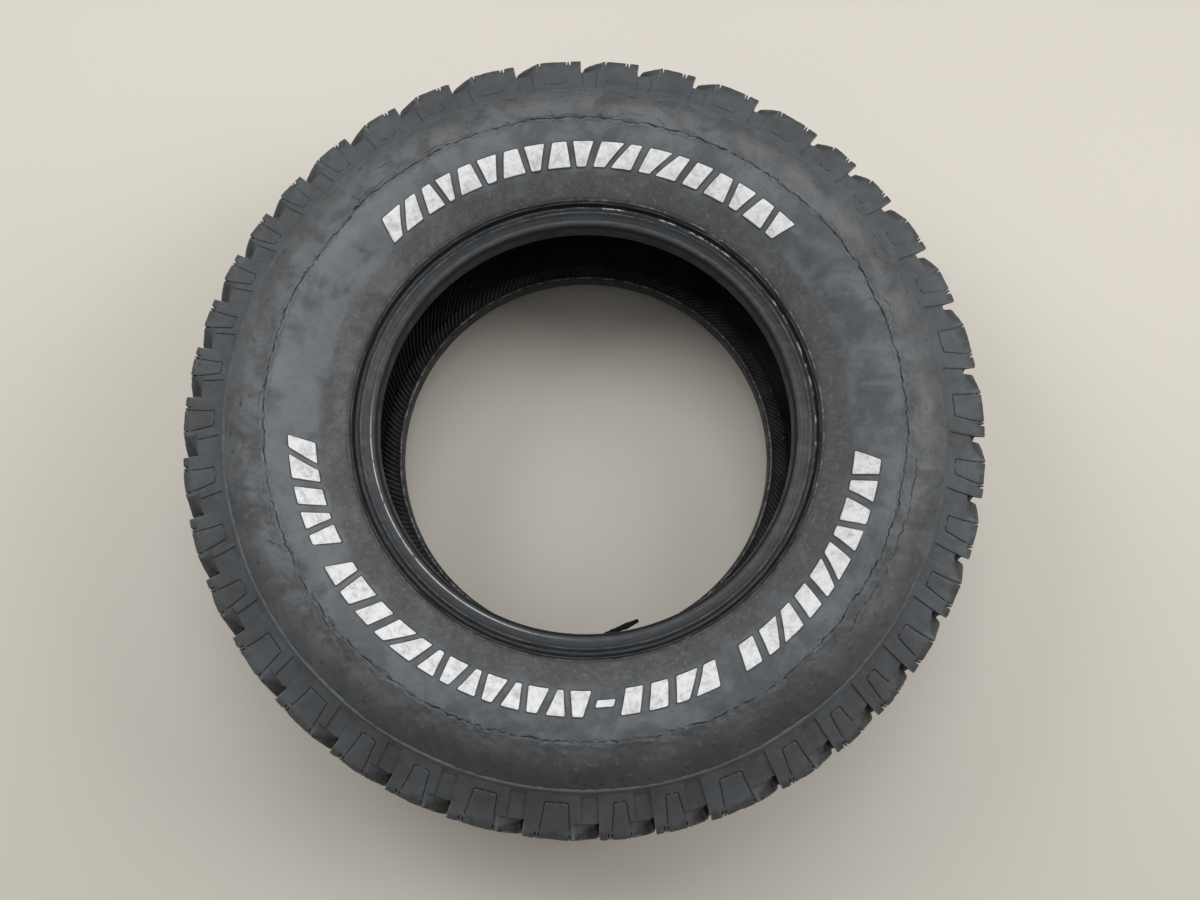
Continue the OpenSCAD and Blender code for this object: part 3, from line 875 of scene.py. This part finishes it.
class Nodes:
    """Short calls for building a material's nodes."""

    def __init__(self, name):
        self.material = bpy.data.materials.new(name)
        self.material.use_nodes = True
        self.tree = self.material.node_tree
        self.shader = self.tree.nodes["Principled BSDF"]
        place = self.add("ShaderNodeTexCoord")
        self.place = place.outputs["Object"]
        flat = self.vector("MULTIPLY", self.place, (1, 1, 0))
        self.radius = self.vector("LENGTH", flat, out="Value")
        self.around = self.vector("NORMALIZE", flat)
        self.colour = None

    def add(self, kind, **settings):
        node = self.tree.nodes.new(kind)
        for key, value in settings.items():
            setattr(node, key, value)
        return node

    def put(self, socket, value):
        if isinstance(value, bpy.types.NodeSocket):
            self.tree.links.new(value, socket)
        elif socket.type == "RGBA" and len(value) == 3:
            socket.default_value = (*value, 1)
        else:
            socket.default_value = value

    def vector(self, operation, a, b=(0, 0, 0), out="Vector"):
        node = self.add("ShaderNodeVectorMath", operation=operation)
        self.put(node.inputs[0], a)
        self.put(node.inputs[1], b)
        return node.outputs[out]

    def math(self, operation, a, b=0.0, c=0.0):
        node = self.add("ShaderNodeMath", operation=operation)
        for socket, value in zip(node.inputs, (a, b, c)):
            self.put(socket, value)
        return node.outputs[0]

    def noise(self, size_mm, detail=4, roughness=0.55, distortion=0.0, vector=None, dims="3D"):
        node = self.add("ShaderNodeTexNoise", noise_dimensions=dims)
        self.put(node.inputs["Scale"], 1 / (size_mm * MM))
        self.put(node.inputs["Detail"], detail)
        self.put(node.inputs["Roughness"], roughness)
        self.put(node.inputs["Distortion"], distortion)
        if dims == "1D":
            self.put(node.inputs["W"], vector)
        else:
            self.put(node.inputs["Vector"], vector or self.place)
        return node.outputs["Fac"]

    def spots(self, size_mm, feature="F1", vector=None):
        node = self.add("ShaderNodeTexVoronoi", feature=feature)
        self.put(node.inputs["Scale"], 1 / (size_mm * MM))
        self.put(node.inputs["Vector"], vector or self.place)
        return node.outputs["Distance"]

    def between(self, value, low, high, to_low=0.0, to_high=1.0):
        node = self.add("ShaderNodeMapRange", interpolation_type="SMOOTHSTEP")
        keys = ("Value", "From Min", "From Max", "To Min", "To Max")
        for key, number in zip(keys, (value, low, high, to_low, to_high)):
            self.put(node.inputs[key], number)
        return node.outputs["Result"]

    def ring(self, middle_mm, half_mm):
        """1 on a ring at that radius, falling to 0 at half_mm on either side."""
        off = self.math("ABSOLUTE", self.math("SUBTRACT", self.radius, middle_mm * MM))
        return self.between(off, half_mm * MM, 0)

    def mix(self, share, a, b, kind="MIX"):
        node = self.add("ShaderNodeMix", data_type="RGBA", blend_type=kind)
        self.put(node.inputs[0], share)
        self.put(node.inputs[6], a)
        self.put(node.inputs[7], b)
        return node.outputs[2]

    def attribute(self, name):
        return self.add("ShaderNodeAttribute", attribute_name=name).outputs["Fac"]

    def bump(self, height, strength, distance_mm, normal=None):
        node = self.add("ShaderNodeBump")
        self.put(node.inputs["Height"], height)
        self.put(node.inputs["Strength"], strength)
        self.put(node.inputs["Distance"], distance_mm * MM)
        if normal is not None:
            self.put(node.inputs["Normal"], normal)
        return node.outputs["Normal"]

    def set(self, **values):
        for key, value in values.items():
            self.put(self.shader.inputs[key.replace("_", " ")], value)
        return self.material

    def times(self, *shares):
        return reduce(lambda a, b: self.math("MULTIPLY", a, b), shares)

    def paint(self, share, colour):
        """Lays a colour over what the piece has so far."""
        self.colour = self.mix(share, self.colour, colour)

    def across(self, from_mm, to_mm, low=0.0, high=1.0, at=None):
        """Goes from low to high between two radii."""
        return self.between(at or self.radius, from_mm * MM, to_mm * MM, low, high)

    def facing(self, heading):
        return self.vector("DOT_PRODUCT", self.around, heading, out="Value")

    def towards(self, degrees, low, high):
        """1 near an angle in degrees clockwise, down to 0 where the cosine of the angle between is low."""
        turn = math.radians(degrees)
        return self.between(self.facing((math.cos(turn), -math.sin(turn), 0)), low, high)

    def near_side_shade(self, share):
        """A share that rises from 0 to its full value towards the -Y side, for painted shade on the near
        side.
        """
        return self.between(self.facing((0.20, -0.98, 0)), 0.3, 1.0, 0, share)


def grey(level, blue=0.0):
    """A rubber grey, a little blue or, below 0, brown."""
    return (level * (1 - blue), level, level * (1 + blue))


def weathered(n, dark, light, stain_mm=45, spread=0.12):
    """Rubber stained in soft clouds between two tones, with finer mottling over it."""
    stain = n.noise(stain_mm, 5, 0.62, 0.5)
    colour = n.mix(n.between(stain, 0.5 - spread, 0.5 + spread), dark, light)
    mottle = n.noise(stain_mm / 5, 5, 0.66, 0.2)
    colour = n.mix(n.between(mottle, 0.5, 0.74, 0, 0.35), colour, light)
    return n.mix(n.between(mottle, 0.48, 0.28, 0, 0.35), colour, dark)


def scuffs(n, size_mm, low, high, shift):
    """Short fine scratches that run round the tyre in places."""
    place = n.vector("ADD", n.place, (shift, 0, 0))
    lines = n.noise(1.0, 2, 0.6, 0, n.math("ADD", n.radius, n.noise(size_mm, 2, 0.5, 0, place)), "1D")
    fields = n.between(n.noise(size_mm, 4, 0.7, 0.8, place), low, high)
    return n.times(n.between(lines, 0.56, 0.72), fields)


def fine_grain(n, size_mm, pale):
    """Pale and dark grain of the weathered surface."""
    fine = n.noise(size_mm, 5, 0.8, 0.3)
    n.paint(n.between(fine, 0.56, 0.72, 0, 0.30), pale)
    n.paint(n.between(fine, 0.44, 0.30, 0, 0.40), grey(0.016))


def sidewall_rubber(look):
    """A smooth band with clouds, rough rubber outside the torn edge, and dust by the bead."""
    n = Nodes("sidewall_rubber")
    wobble = n.noise(14, 4, 0.6, 0.3)
    edge_at = n.math("ADD", n.radius, n.between(wobble, 0.3, 0.7, -3 * MM, 3 * MM))
    outer = n.across(STEP_R - 1.5, STEP_R + 1.5, at=edge_at)
    cloud = weathered(n, look.smooth_dark, look.smooth_light, 38, 0.12)
    band = weathered(n, look.rough_dark, look.rough_light, 34, 0.13)
    band = n.mix(n.across(RIB_R - 24, RIB_R - 10, 0, 0.4, edge_at), band, look.rough_dark)
    n.colour = n.mix(outer, cloud, band)
    # Brown patches on the rough rubber, and pale clouds on the left of the smooth band: bloom, with painted
    # light that makes that side lighter.
    brown = n.times(n.ring(STEP_R + 17, 18), n.between(n.noise(30, 3, 0.6, 0.4), 0.42, 0.58))
    n.paint(n.times(brown, n.towards(320, -0.1, 0.5), 0.6), grey(0.105, -0.025))
    # Painted light on the left of the smooth band, broken into clouds.
    bloom_and_painted_light = n.times(n.towards(178, 0.5, 0.9), n.between(n.noise(44, 3, 0.6, 0.5), 0.36, 0.56))
    n.paint(n.times(bloom_and_painted_light, n.math("SUBTRACT", 1.0, outer), 0.6), grey(0.150, 0.07))
    # Dust by the bead, with rubbed and dirty spots in it.
    dust = n.between(n.noise(26, 4, 0.65, 0.3), 0.40, 0.58, 0.45, 0.9)
    n.paint(n.times(n.across(CLINCH_R + 25, CLINCH_R + 19, at=edge_at), dust), look.dust)
    rubbed = n.noise(4.5, 6, 0.78, 0.4)
    near_bead = n.across(CLINCH_R + 22, CLINCH_R + 16, at=edge_at)
    n.paint(n.times(near_bead, n.between(rubbed, 0.53, 0.66, 0, 0.6)), grey(0.150, 0.02))
    n.paint(n.times(near_bead, n.between(rubbed, 0.46, 0.34, 0, 0.6)), grey(0.026, 0.02))
    n.paint(n.across(CLINCH_R + 2.5, CLINCH_R, 0, 0.6), grey(0.028))
    # Painted shade on the near side, then scratches, freckles and the chafed clinch ring.
    shade = n.across(STEP_R + 4, STEP_R + 24, 0.62, 0.66)
    n.paint(n.times(n.near_side_shade(1.0), shade, outer), grey(0.022, 0.06))
    n.paint(n.times(scuffs(n, 40, 0.52, 0.66, 0.0), 0.14), grey(0.20, 0.02))
    n.paint(n.times(scuffs(n, 18, 0.58, 0.7, 0.7), 0.3), grey(0.03, 0.02))
    n.paint(n.between(n.spots(34), 0.03, 0.015, 0, 0.3), grey(0.22))
    chafed = n.times(n.ring(CLINCH_R - 0.6, 1.3), n.between(n.noise(8, 5, 0.7), 0.44, 0.6))
    n.paint(n.times(chafed, n.math("ADD", n.towards(330, 0.3, 0.9), 0.35), 0.7), grey(0.26, 0.02))
    n.paint(n.between(n.attribute("edge"), 0.5, 1.3, 0, 0.4), grey(0.17, 0.03))
    # Painted shade in the hollows.
    n.paint(n.between(n.attribute("edge"), -0.15, -0.7, 0, 0.7), grey(0.012))
    # Cracks, dark in the middle and frayed pale beside it.
    crack = n.attribute("crack")
    fading = n.between(n.noise(70, 3, 0.6), 0.40, 0.58, 0.45, 0.85)
    n.paint(n.times(n.between(crack, 0.7, 0.15), fading), grey(0.010))
    n.paint(n.times(n.between(crack, 2.6, 0.8), n.between(wobble, 0.45, 0.6), outer, 0.3), grey(0.17, 0.03))
    fine_grain(n, 1.5, grey(0.17, 0.04))
    n.paint(n.between(n.noise(6.5, 4, 0.7, 0.6), 0.36, 0.28, 0, 0.5), grey(0.022, 0.02))
    normal = n.bump(n.between(crack, 0.1, 1.0), 0.7, 0.6)
    normal = n.bump(n.noise(3.4, 8, 0.74), 0.6, 0.75, normal)
    rough = n.between(wobble, 0.3, 0.7, 0.54, 0.72)
    return n.set(Base_Color=n.colour, Roughness=rough, Normal=normal, Specular_IOR_Level=0.4)


def tread_rubber(look):
    """Weathered lugs, darker at the tread edge from wear and painted shade, with painted shade in the notches
    and lines.
    """
    n = Nodes("tread_rubber")
    n.colour = weathered(n, look.rough_dark, look.lug, 36, 0.18)
    patch = n.noise(9, 4, 0.62)
    n.paint(n.between(patch, 0.54, 0.8, 0, 0.35), look.rough_light)
    # Painted shade on the near side.
    n.paint(n.near_side_shade(0.3), grey(0.03, 0.06))
    n.paint(n.times(n.towards(240, 0.0, 0.9), 0.22), grey(0.035, 0.08))
    # A dark band at the tread edge: partly wear, partly painted shade where the edge turns away from the
    # light, more on the near side.
    edge_at = n.math("ADD", n.radius, n.between(patch, 0.3, 0.7, -3 * MM, 3 * MM))
    worn = n.across(SHOULDER_R - 9, SHOULDER_R - 1, at=edge_at)
    n.paint(n.times(worn, n.math("ADD", n.near_side_shade(0.35), 0.55)), grey(0.022, -0.06))
    # Painted shade deep in the notches and scoops, and along the thin cuts.
    n.paint(n.between(n.attribute("carve"), 0.13, 0.7, 0, 0.85), grey(0.014))
    n.paint(n.between(n.attribute("line"), 0.2, 0.8, 0, 0.45), grey(0.016))
    # Pale wear on the edges, and painted shade in the hollows.
    n.paint(n.between(n.attribute("edge"), 0.12, 0.7, 0, 0.55), grey(0.15, 0.03))
    n.paint(n.between(n.attribute("edge"), -0.25, -0.9, 0, 0.55), grey(0.014))
    n.paint(n.between(n.spots(30), 0.03, 0.015, 0, 0.3), grey(0.22))
    fine_grain(n, 1.6, grey(0.16, 0.04))
    normal = n.bump(n.noise(3.6, 8, 0.74), 0.6, 0.8)
    rough = n.between(patch, 0.3, 0.7, 0.58, 0.78)
    return n.set(Base_Color=n.colour, Roughness=rough, Normal=normal, Specular_IOR_Level=0.4)


def bead_rubber(look):
    """Black rubber in fine rings, polished and chafed where the rim sat, with a painted highlight along the
    heel.
    """
    n = Nodes("bead_rubber")
    n.colour = weathered(n, look.bead_dark, look.bead_light, 24, 0.16)
    rings = n.noise(1.3, 2, 0.5, 0, n.radius, "1D")
    n.paint(n.across(BORE_R + 4.5, BORE_R + 6.5, 0, 0.45), look.bead_light)
    n.paint(n.between(rings, 0.48, 0.62, 0, 0.5), grey(0.050, 0.08))
    n.paint(n.between(rings, 0.46, 0.36, 0, 0.5), look.bead_dark)
    n.paint(n.across(FLANGE_R + 1.0, FLANGE_R + 2.6, 0, 0.9), grey(0.009, 0.15))
    n.paint(n.across(BORE_R + 4.0, BORE_R + 2.0, 0, 0.9), grey(0.008))
    corner = n.times(n.ring(FLANGE_R - 0.3, 0.8), n.between(n.noise(11, 5, 0.75), 0.47, 0.58))
    n.paint(n.times(corner, 0.4), grey(0.16, 0.05))
    # A painted highlight along the heel, strongest towards 138 degrees and broken by noise.
    heel_glint_side = n.math("ADD", n.times(n.towards(138, 0.62, 0.95), 0.95), 0.03)
    heel = n.times(n.ring(BORE_R + 5.2, 0.9), n.between(n.noise(14, 5, 0.7), 0.30, 0.50))
    n.paint(n.times(heel, heel_glint_side), grey(0.46, 0.03))
    # Pale scuffs on the lower toe, and white streaks in the groove at the upper right.
    height = n.vector("DOT_PRODUCT", n.place, (0, 0, 1), out="Value")
    below = n.between(height, HALF_H * MM, (HALF_H - 20) * MM)
    toe = n.times(n.ring(BORE_R + 2.0, 1.6), n.between(n.noise(7, 5, 0.75), 0.46, 0.58))
    n.paint(n.times(toe, below, 0.7), grey(0.24))
    streaks = n.times(n.ring(CHAFE_R, 1.1), n.between(n.noise(16, 6, 0.8), 0.50, 0.56))
    n.paint(n.times(streaks, n.towards(315, 0.5, 0.8), 0.8), grey(0.48, 0.02))
    # Painted shade in the hollows of the bead.
    n.paint(n.between(n.attribute("edge"), -0.3, -0.9, 0, 0.5), grey(0.01))
    normal = n.bump(rings, 0.3, 0.3)
    normal = n.bump(n.noise(1.5, 4, 0.6), 0.25, 0.25, normal)
    rough = n.between(n.noise(20, 3), 0.3, 0.7, 0.42, 0.6)
    return n.set(Base_Color=n.colour, Roughness=rough, Normal=normal, Specular_IOR_Level=0.38)


def shred_rubber():
    """Torn rubber: black and dull."""
    return Nodes("shred_rubber").set(Base_Color=grey(0.007), Roughness=0.9, Specular_IOR_Level=0.1)


def liner_rubber(look):
    """The dark liner, with a painted highlight on the crests of its ribs."""
    n = Nodes("liner_rubber")
    stain = n.noise(30, 4, 0.6)
    n.colour = n.mix(n.between(stain, 0.35, 0.7), look.liner, grey(0.045, 0.02))
    # Painted highlight on the rib crests, uneven with the stains.
    crest = n.between(n.attribute("edge"), 0.25, 0.95)
    n.paint(n.times(crest, n.between(stain, 0.3, 0.6, 0.4, 0.9)), grey(0.085))
    normal = n.bump(n.noise(1.8, 4), 0.3, 0.3)
    return n.set(Base_Color=n.colour, Roughness=0.55, Normal=normal, Specular_IOR_Level=0.5)


def mark_rubber(look):
    """Dirty white rubber with dark edges and fine scratches."""
    n = Nodes("mark_rubber")
    n.colour = n.mix(n.between(n.noise(9, 6, 0.72, 0.5), 0.40, 0.72, 0, 0.85), look.mark, look.mark_dirty)
    n.paint(n.between(n.noise(2.4, 5, 0.75), 0.60, 0.70, 0, 0.75), grey(0.13))
    lines = n.noise(1.6, 3, 0.7, 0, n.math("ADD", n.radius, n.noise(30, 2, 0.5)), "1D")
    n.paint(n.between(lines, 0.60, 0.72, 0, 0.35), grey(0.16))
    n.paint(n.between(n.attribute("edge"), 0.4, 0.85, 0, 0.95), grey(0.022, 0.02))
    normal = n.bump(n.noise(1.6, 5, 0.7), 0.45, 0.35)
    return n.set(Base_Color=n.colour, Roughness=0.7, Normal=normal, Specular_IOR_Level=0.3)


# ---------------------------------------------------------------- settings


def colour_setting(name, about, value):
    span = {"min": 0, "max": 1, "size": 3}
    return FloatVectorProperty(name=name, description=about, subtype="COLOR", default=value, **span)


class TYRE_PG_build(bpy.types.PropertyGroup):
    """Sizes and counts that a user may change."""

    wall_columns: IntProperty(name="Sidewall columns", description="Columns round the sidewall", default=1800)
    bead_columns: IntProperty(name="Bead columns", description="Columns round each bead", default=1200)
    mark_height: FloatProperty(name="Mark height", description="Height of the marks in mm", default=0.9)
    seed: IntProperty(name="Seed", description="Seed of the wear and scuffs", default=7)


class TYRE_PG_look(bpy.types.PropertyGroup):
    """Colours of the rubber and its wear."""

    smooth_dark: colour_setting("Smooth, dark", "Darker stains of the smooth band", grey(0.060, 0.10))
    smooth_light: colour_setting("Smooth, light", "Lighter bloom of the smooth band", grey(0.108, 0.10))
    rough_dark: colour_setting("Rough, dark", "Darker rough rubber", grey(0.050, 0.08))
    rough_light: colour_setting("Rough, light", "Lighter scuffed rubber", grey(0.098, 0.07))
    lug: colour_setting("Lug", "Shoulder lugs", grey(0.080, 0.10))
    dust: colour_setting("Dust", "Dust by the bead", grey(0.058, -0.02))
    bead_dark: colour_setting("Bead, dark", "Bead rubber in the grooves", grey(0.011, 0.07))
    bead_light: colour_setting("Bead, light", "Bead rubber where the rim has polished it", grey(0.026, 0.18))
    liner: colour_setting("Liner", "Inner liner", grey(0.018, 0.0))
    mark: colour_setting("Mark", "Pale raised marks", grey(0.70, 0.01))
    mark_dirty: colour_setting("Mark, dirty", "Grime on the pale marks", grey(0.36, 0.0))
    floor: colour_setting("Floor", "Plain floor", (0.61, 0.578, 0.518))


# ---------------------------------------------------------------- operators


class TYRE_OT_tread(bpy.types.Operator):
    """Adds both rows of shoulder lugs and the ribs between them"""

    bl_idname = "tyre.add_tread"
    bl_label = "Tread"

    def execute(self, context):
        seed = context.scene.tyre_build.seed
        rubber = tread_rubber(context.scene.tyre_look)
        finish_piece(shoulder_band("shoulder_lugs_upper", 1, seed), rubber)
        finish_piece(shoulder_band("shoulder_lugs_lower", -1, seed + 50), rubber)
        finish_piece(middle_band("tread_ribs", seed + 90), rubber)
        return {"FINISHED"}


class TYRE_OT_sidewalls(bpy.types.Operator):
    """Adds the upper and lower sidewalls"""

    bl_idname = "tyre.add_sidewalls"
    bl_label = "Sidewalls"

    def execute(self, context):
        build = context.scene.tyre_build
        rubber = sidewall_rubber(context.scene.tyre_look)
        finish_piece(sidewall_band("sidewall_upper", 1, build.wall_columns, build.seed + 10), rubber)
        finish_piece(sidewall_band("sidewall_lower", -1, build.wall_columns // 3, build.seed + 20), rubber)
        return {"FINISHED"}


class TYRE_OT_beads(bpy.types.Operator):
    """Adds both beads and the torn shreds on their toes"""

    bl_idname = "tyre.add_beads"
    bl_label = "Beads"

    def execute(self, context):
        build = context.scene.tyre_build
        look = context.scene.tyre_look
        rubber = bead_rubber(look)
        finish_piece(bead_band("bead_upper", 1, build.bead_columns, build.seed + 30), rubber)
        finish_piece(bead_band("bead_lower", -1, build.bead_columns // 2, build.seed + 35), rubber)
        finish_piece(torn_scraps("torn_shreds", build.seed + 38), shred_rubber())
        return {"FINISHED"}


class TYRE_OT_liner(bpy.types.Operator):
    """Adds the inner surface"""

    bl_idname = "tyre.add_liner"
    bl_label = "Liner"

    def execute(self, context):
        look = context.scene.tyre_look
        finish_piece(liner_band("inner_liner", context.scene.tyre_build.seed + 60), liner_rubber(look))
        return {"FINISHED"}


class TYRE_OT_marks(bpy.types.Operator):
    """Adds the plain raised marks of the upper sidewall"""

    bl_idname = "tyre.add_marks"
    bl_label = "Raised marks"

    def execute(self, context):
        build = context.scene.tyre_build
        marks = raised_marks("raised_marks", build.mark_height, build.seed + 70)
        finish_piece(marks, mark_rubber(context.scene.tyre_look))
        return {"FINISHED"}


class TYRE_OT_stage(bpy.types.Operator):
    """Adds the floor, the soft lights and the camera"""

    bl_idname = "tyre.add_stage"
    bl_label = "Stage"

    def execute(self, context):
        add_floor(context.scene.tyre_look)
        add_lights()
        add_camera()
        context.scene.view_settings.view_transform = "Standard"
        return {"FINISHED"}


# ---------------------------------------------------------------- stage

CAMERA_TILT = 12.58
CAMERA_ROLL = 3.87
SENSOR_W = 36.0
CAMERA_FOCAL = 0.79225 * SENSOR_W
CAMERA_AT = (14.8, -227.3, 970.7)


def add_floor(look):
    """A plain pale floor that keeps the tyre's shadow."""
    half = 40.0
    corners = np.array([(-half, -half, 0), (half, -half, 0), (half, half, 0), (-half, half, 0)])
    floor = mesh_piece("floor", corners, np.array([[0, 1, 2, 3]]))
    n = Nodes("floor_paint")
    tone = n.noise(900, 3, 0.5)
    colour = n.mix(n.between(tone, 0.3, 0.7, 0, 0.12), tuple(look.floor), (0.5, 0.48, 0.44))
    floor.data.materials.append(n.set(Base_Color=colour, Roughness=0.9, Specular_IOR_Level=0.1))


# The lamps: name, place, diameter and power in watts. All point at the tyre.
LAMPS = (
    ("overhead_lamp", (0.0, 0.7, 1.9), 1.0, 11.5),
    ("left_lamp", (-1.2, 0.6, 1.5), 1.0, 14.6),
    ("right_lamp", (1.2, 0.6, 1.5), 1.0, 8.4),
    ("far_right_lamp", (2.6, 0.4, 1.9), 1.6, 27),
)
LAMP_TARGET = Vector((0, 0, 0.1))


def add_area(name, place, size, power):
    light = bpy.data.lights.new(name, "AREA")
    light.energy = power
    light.shape = "DISK"
    light.size = size
    lamp = bpy.data.objects.new(name, light)
    lamp.location = place
    lamp.rotation_mode = "QUATERNION"
    lamp.rotation_quaternion = (LAMP_TARGET - Vector(place)).to_track_quat("-Z", "Y")
    bpy.context.scene.collection.objects.link(lamp)


def add_lights():
    """Soft light from broad lamps overhead, on the left and on the right, in a dimmer pale room."""
    world = bpy.data.worlds.new("room")
    world.use_nodes = True
    background = world.node_tree.nodes["Background"].inputs
    background["Color"].default_value = (1.0, 0.985, 0.96, 1)
    background["Strength"].default_value = 0.35
    bpy.context.scene.world = world
    for lamp in LAMPS:
        add_area(*lamp)


def add_camera():
    """The camera, high over the tyre and a little on the near side."""
    camera = bpy.data.cameras.new("camera")
    camera.lens = CAMERA_FOCAL
    camera.sensor_width = SENSOR_W
    camera.clip_end = 30
    eye = bpy.data.objects.new("camera", camera)
    x, y, z = CAMERA_AT
    look = Matrix.Rotation(math.radians(CAMERA_TILT), 4, "X")
    roll = Matrix.Rotation(math.radians(CAMERA_ROLL), 4, "Z")
    eye.matrix_world = Matrix.Translation((x * MM, y * MM, (z + HALF_H) * MM)) @ look @ roll
    bpy.context.scene.collection.objects.link(eye)
    bpy.context.scene.camera = eye


# ---------------------------------------------------------------- add-on


class TYRE_PT_panel(bpy.types.Panel):
    """The tyre's pieces and settings"""

    bl_idname = "TYRE_PT_panel"
    bl_label = "Worn Tyre"
    bl_space_type = "VIEW_3D"
    bl_region_type = "UI"
    bl_category = "Tyre"

    def draw(self, context):
        layout = self.layout
        for operator in OPERATORS:
            layout.operator(operator.bl_idname)
        for group in (context.scene.tyre_build, context.scene.tyre_look):
            for key in group.__annotations__:
                layout.prop(group, key)


OPERATORS = (TYRE_OT_tread, TYRE_OT_sidewalls, TYRE_OT_beads, TYRE_OT_liner, TYRE_OT_marks, TYRE_OT_stage)
CLASSES = (TYRE_PG_build, TYRE_PG_look, *OPERATORS, TYRE_PT_panel)


def register():
    for cls in CLASSES:
        bpy.utils.register_class(cls)
    bpy.types.Scene.tyre_build = PointerProperty(type=TYRE_PG_build)
    bpy.types.Scene.tyre_look = PointerProperty(type=TYRE_PG_look)


def unregister():
    del bpy.types.Scene.tyre_look
    del bpy.types.Scene.tyre_build
    for cls in reversed(CLASSES):
        bpy.utils.unregister_class(cls)


def main():
    register()
    bpy.ops.tyre.add_tread()
    bpy.ops.tyre.add_sidewalls()
    bpy.ops.tyre.add_beads()
    bpy.ops.tyre.add_liner()
    bpy.ops.tyre.add_marks()
    bpy.ops.tyre.add_stage()


if __name__ == "__main__":
    main()
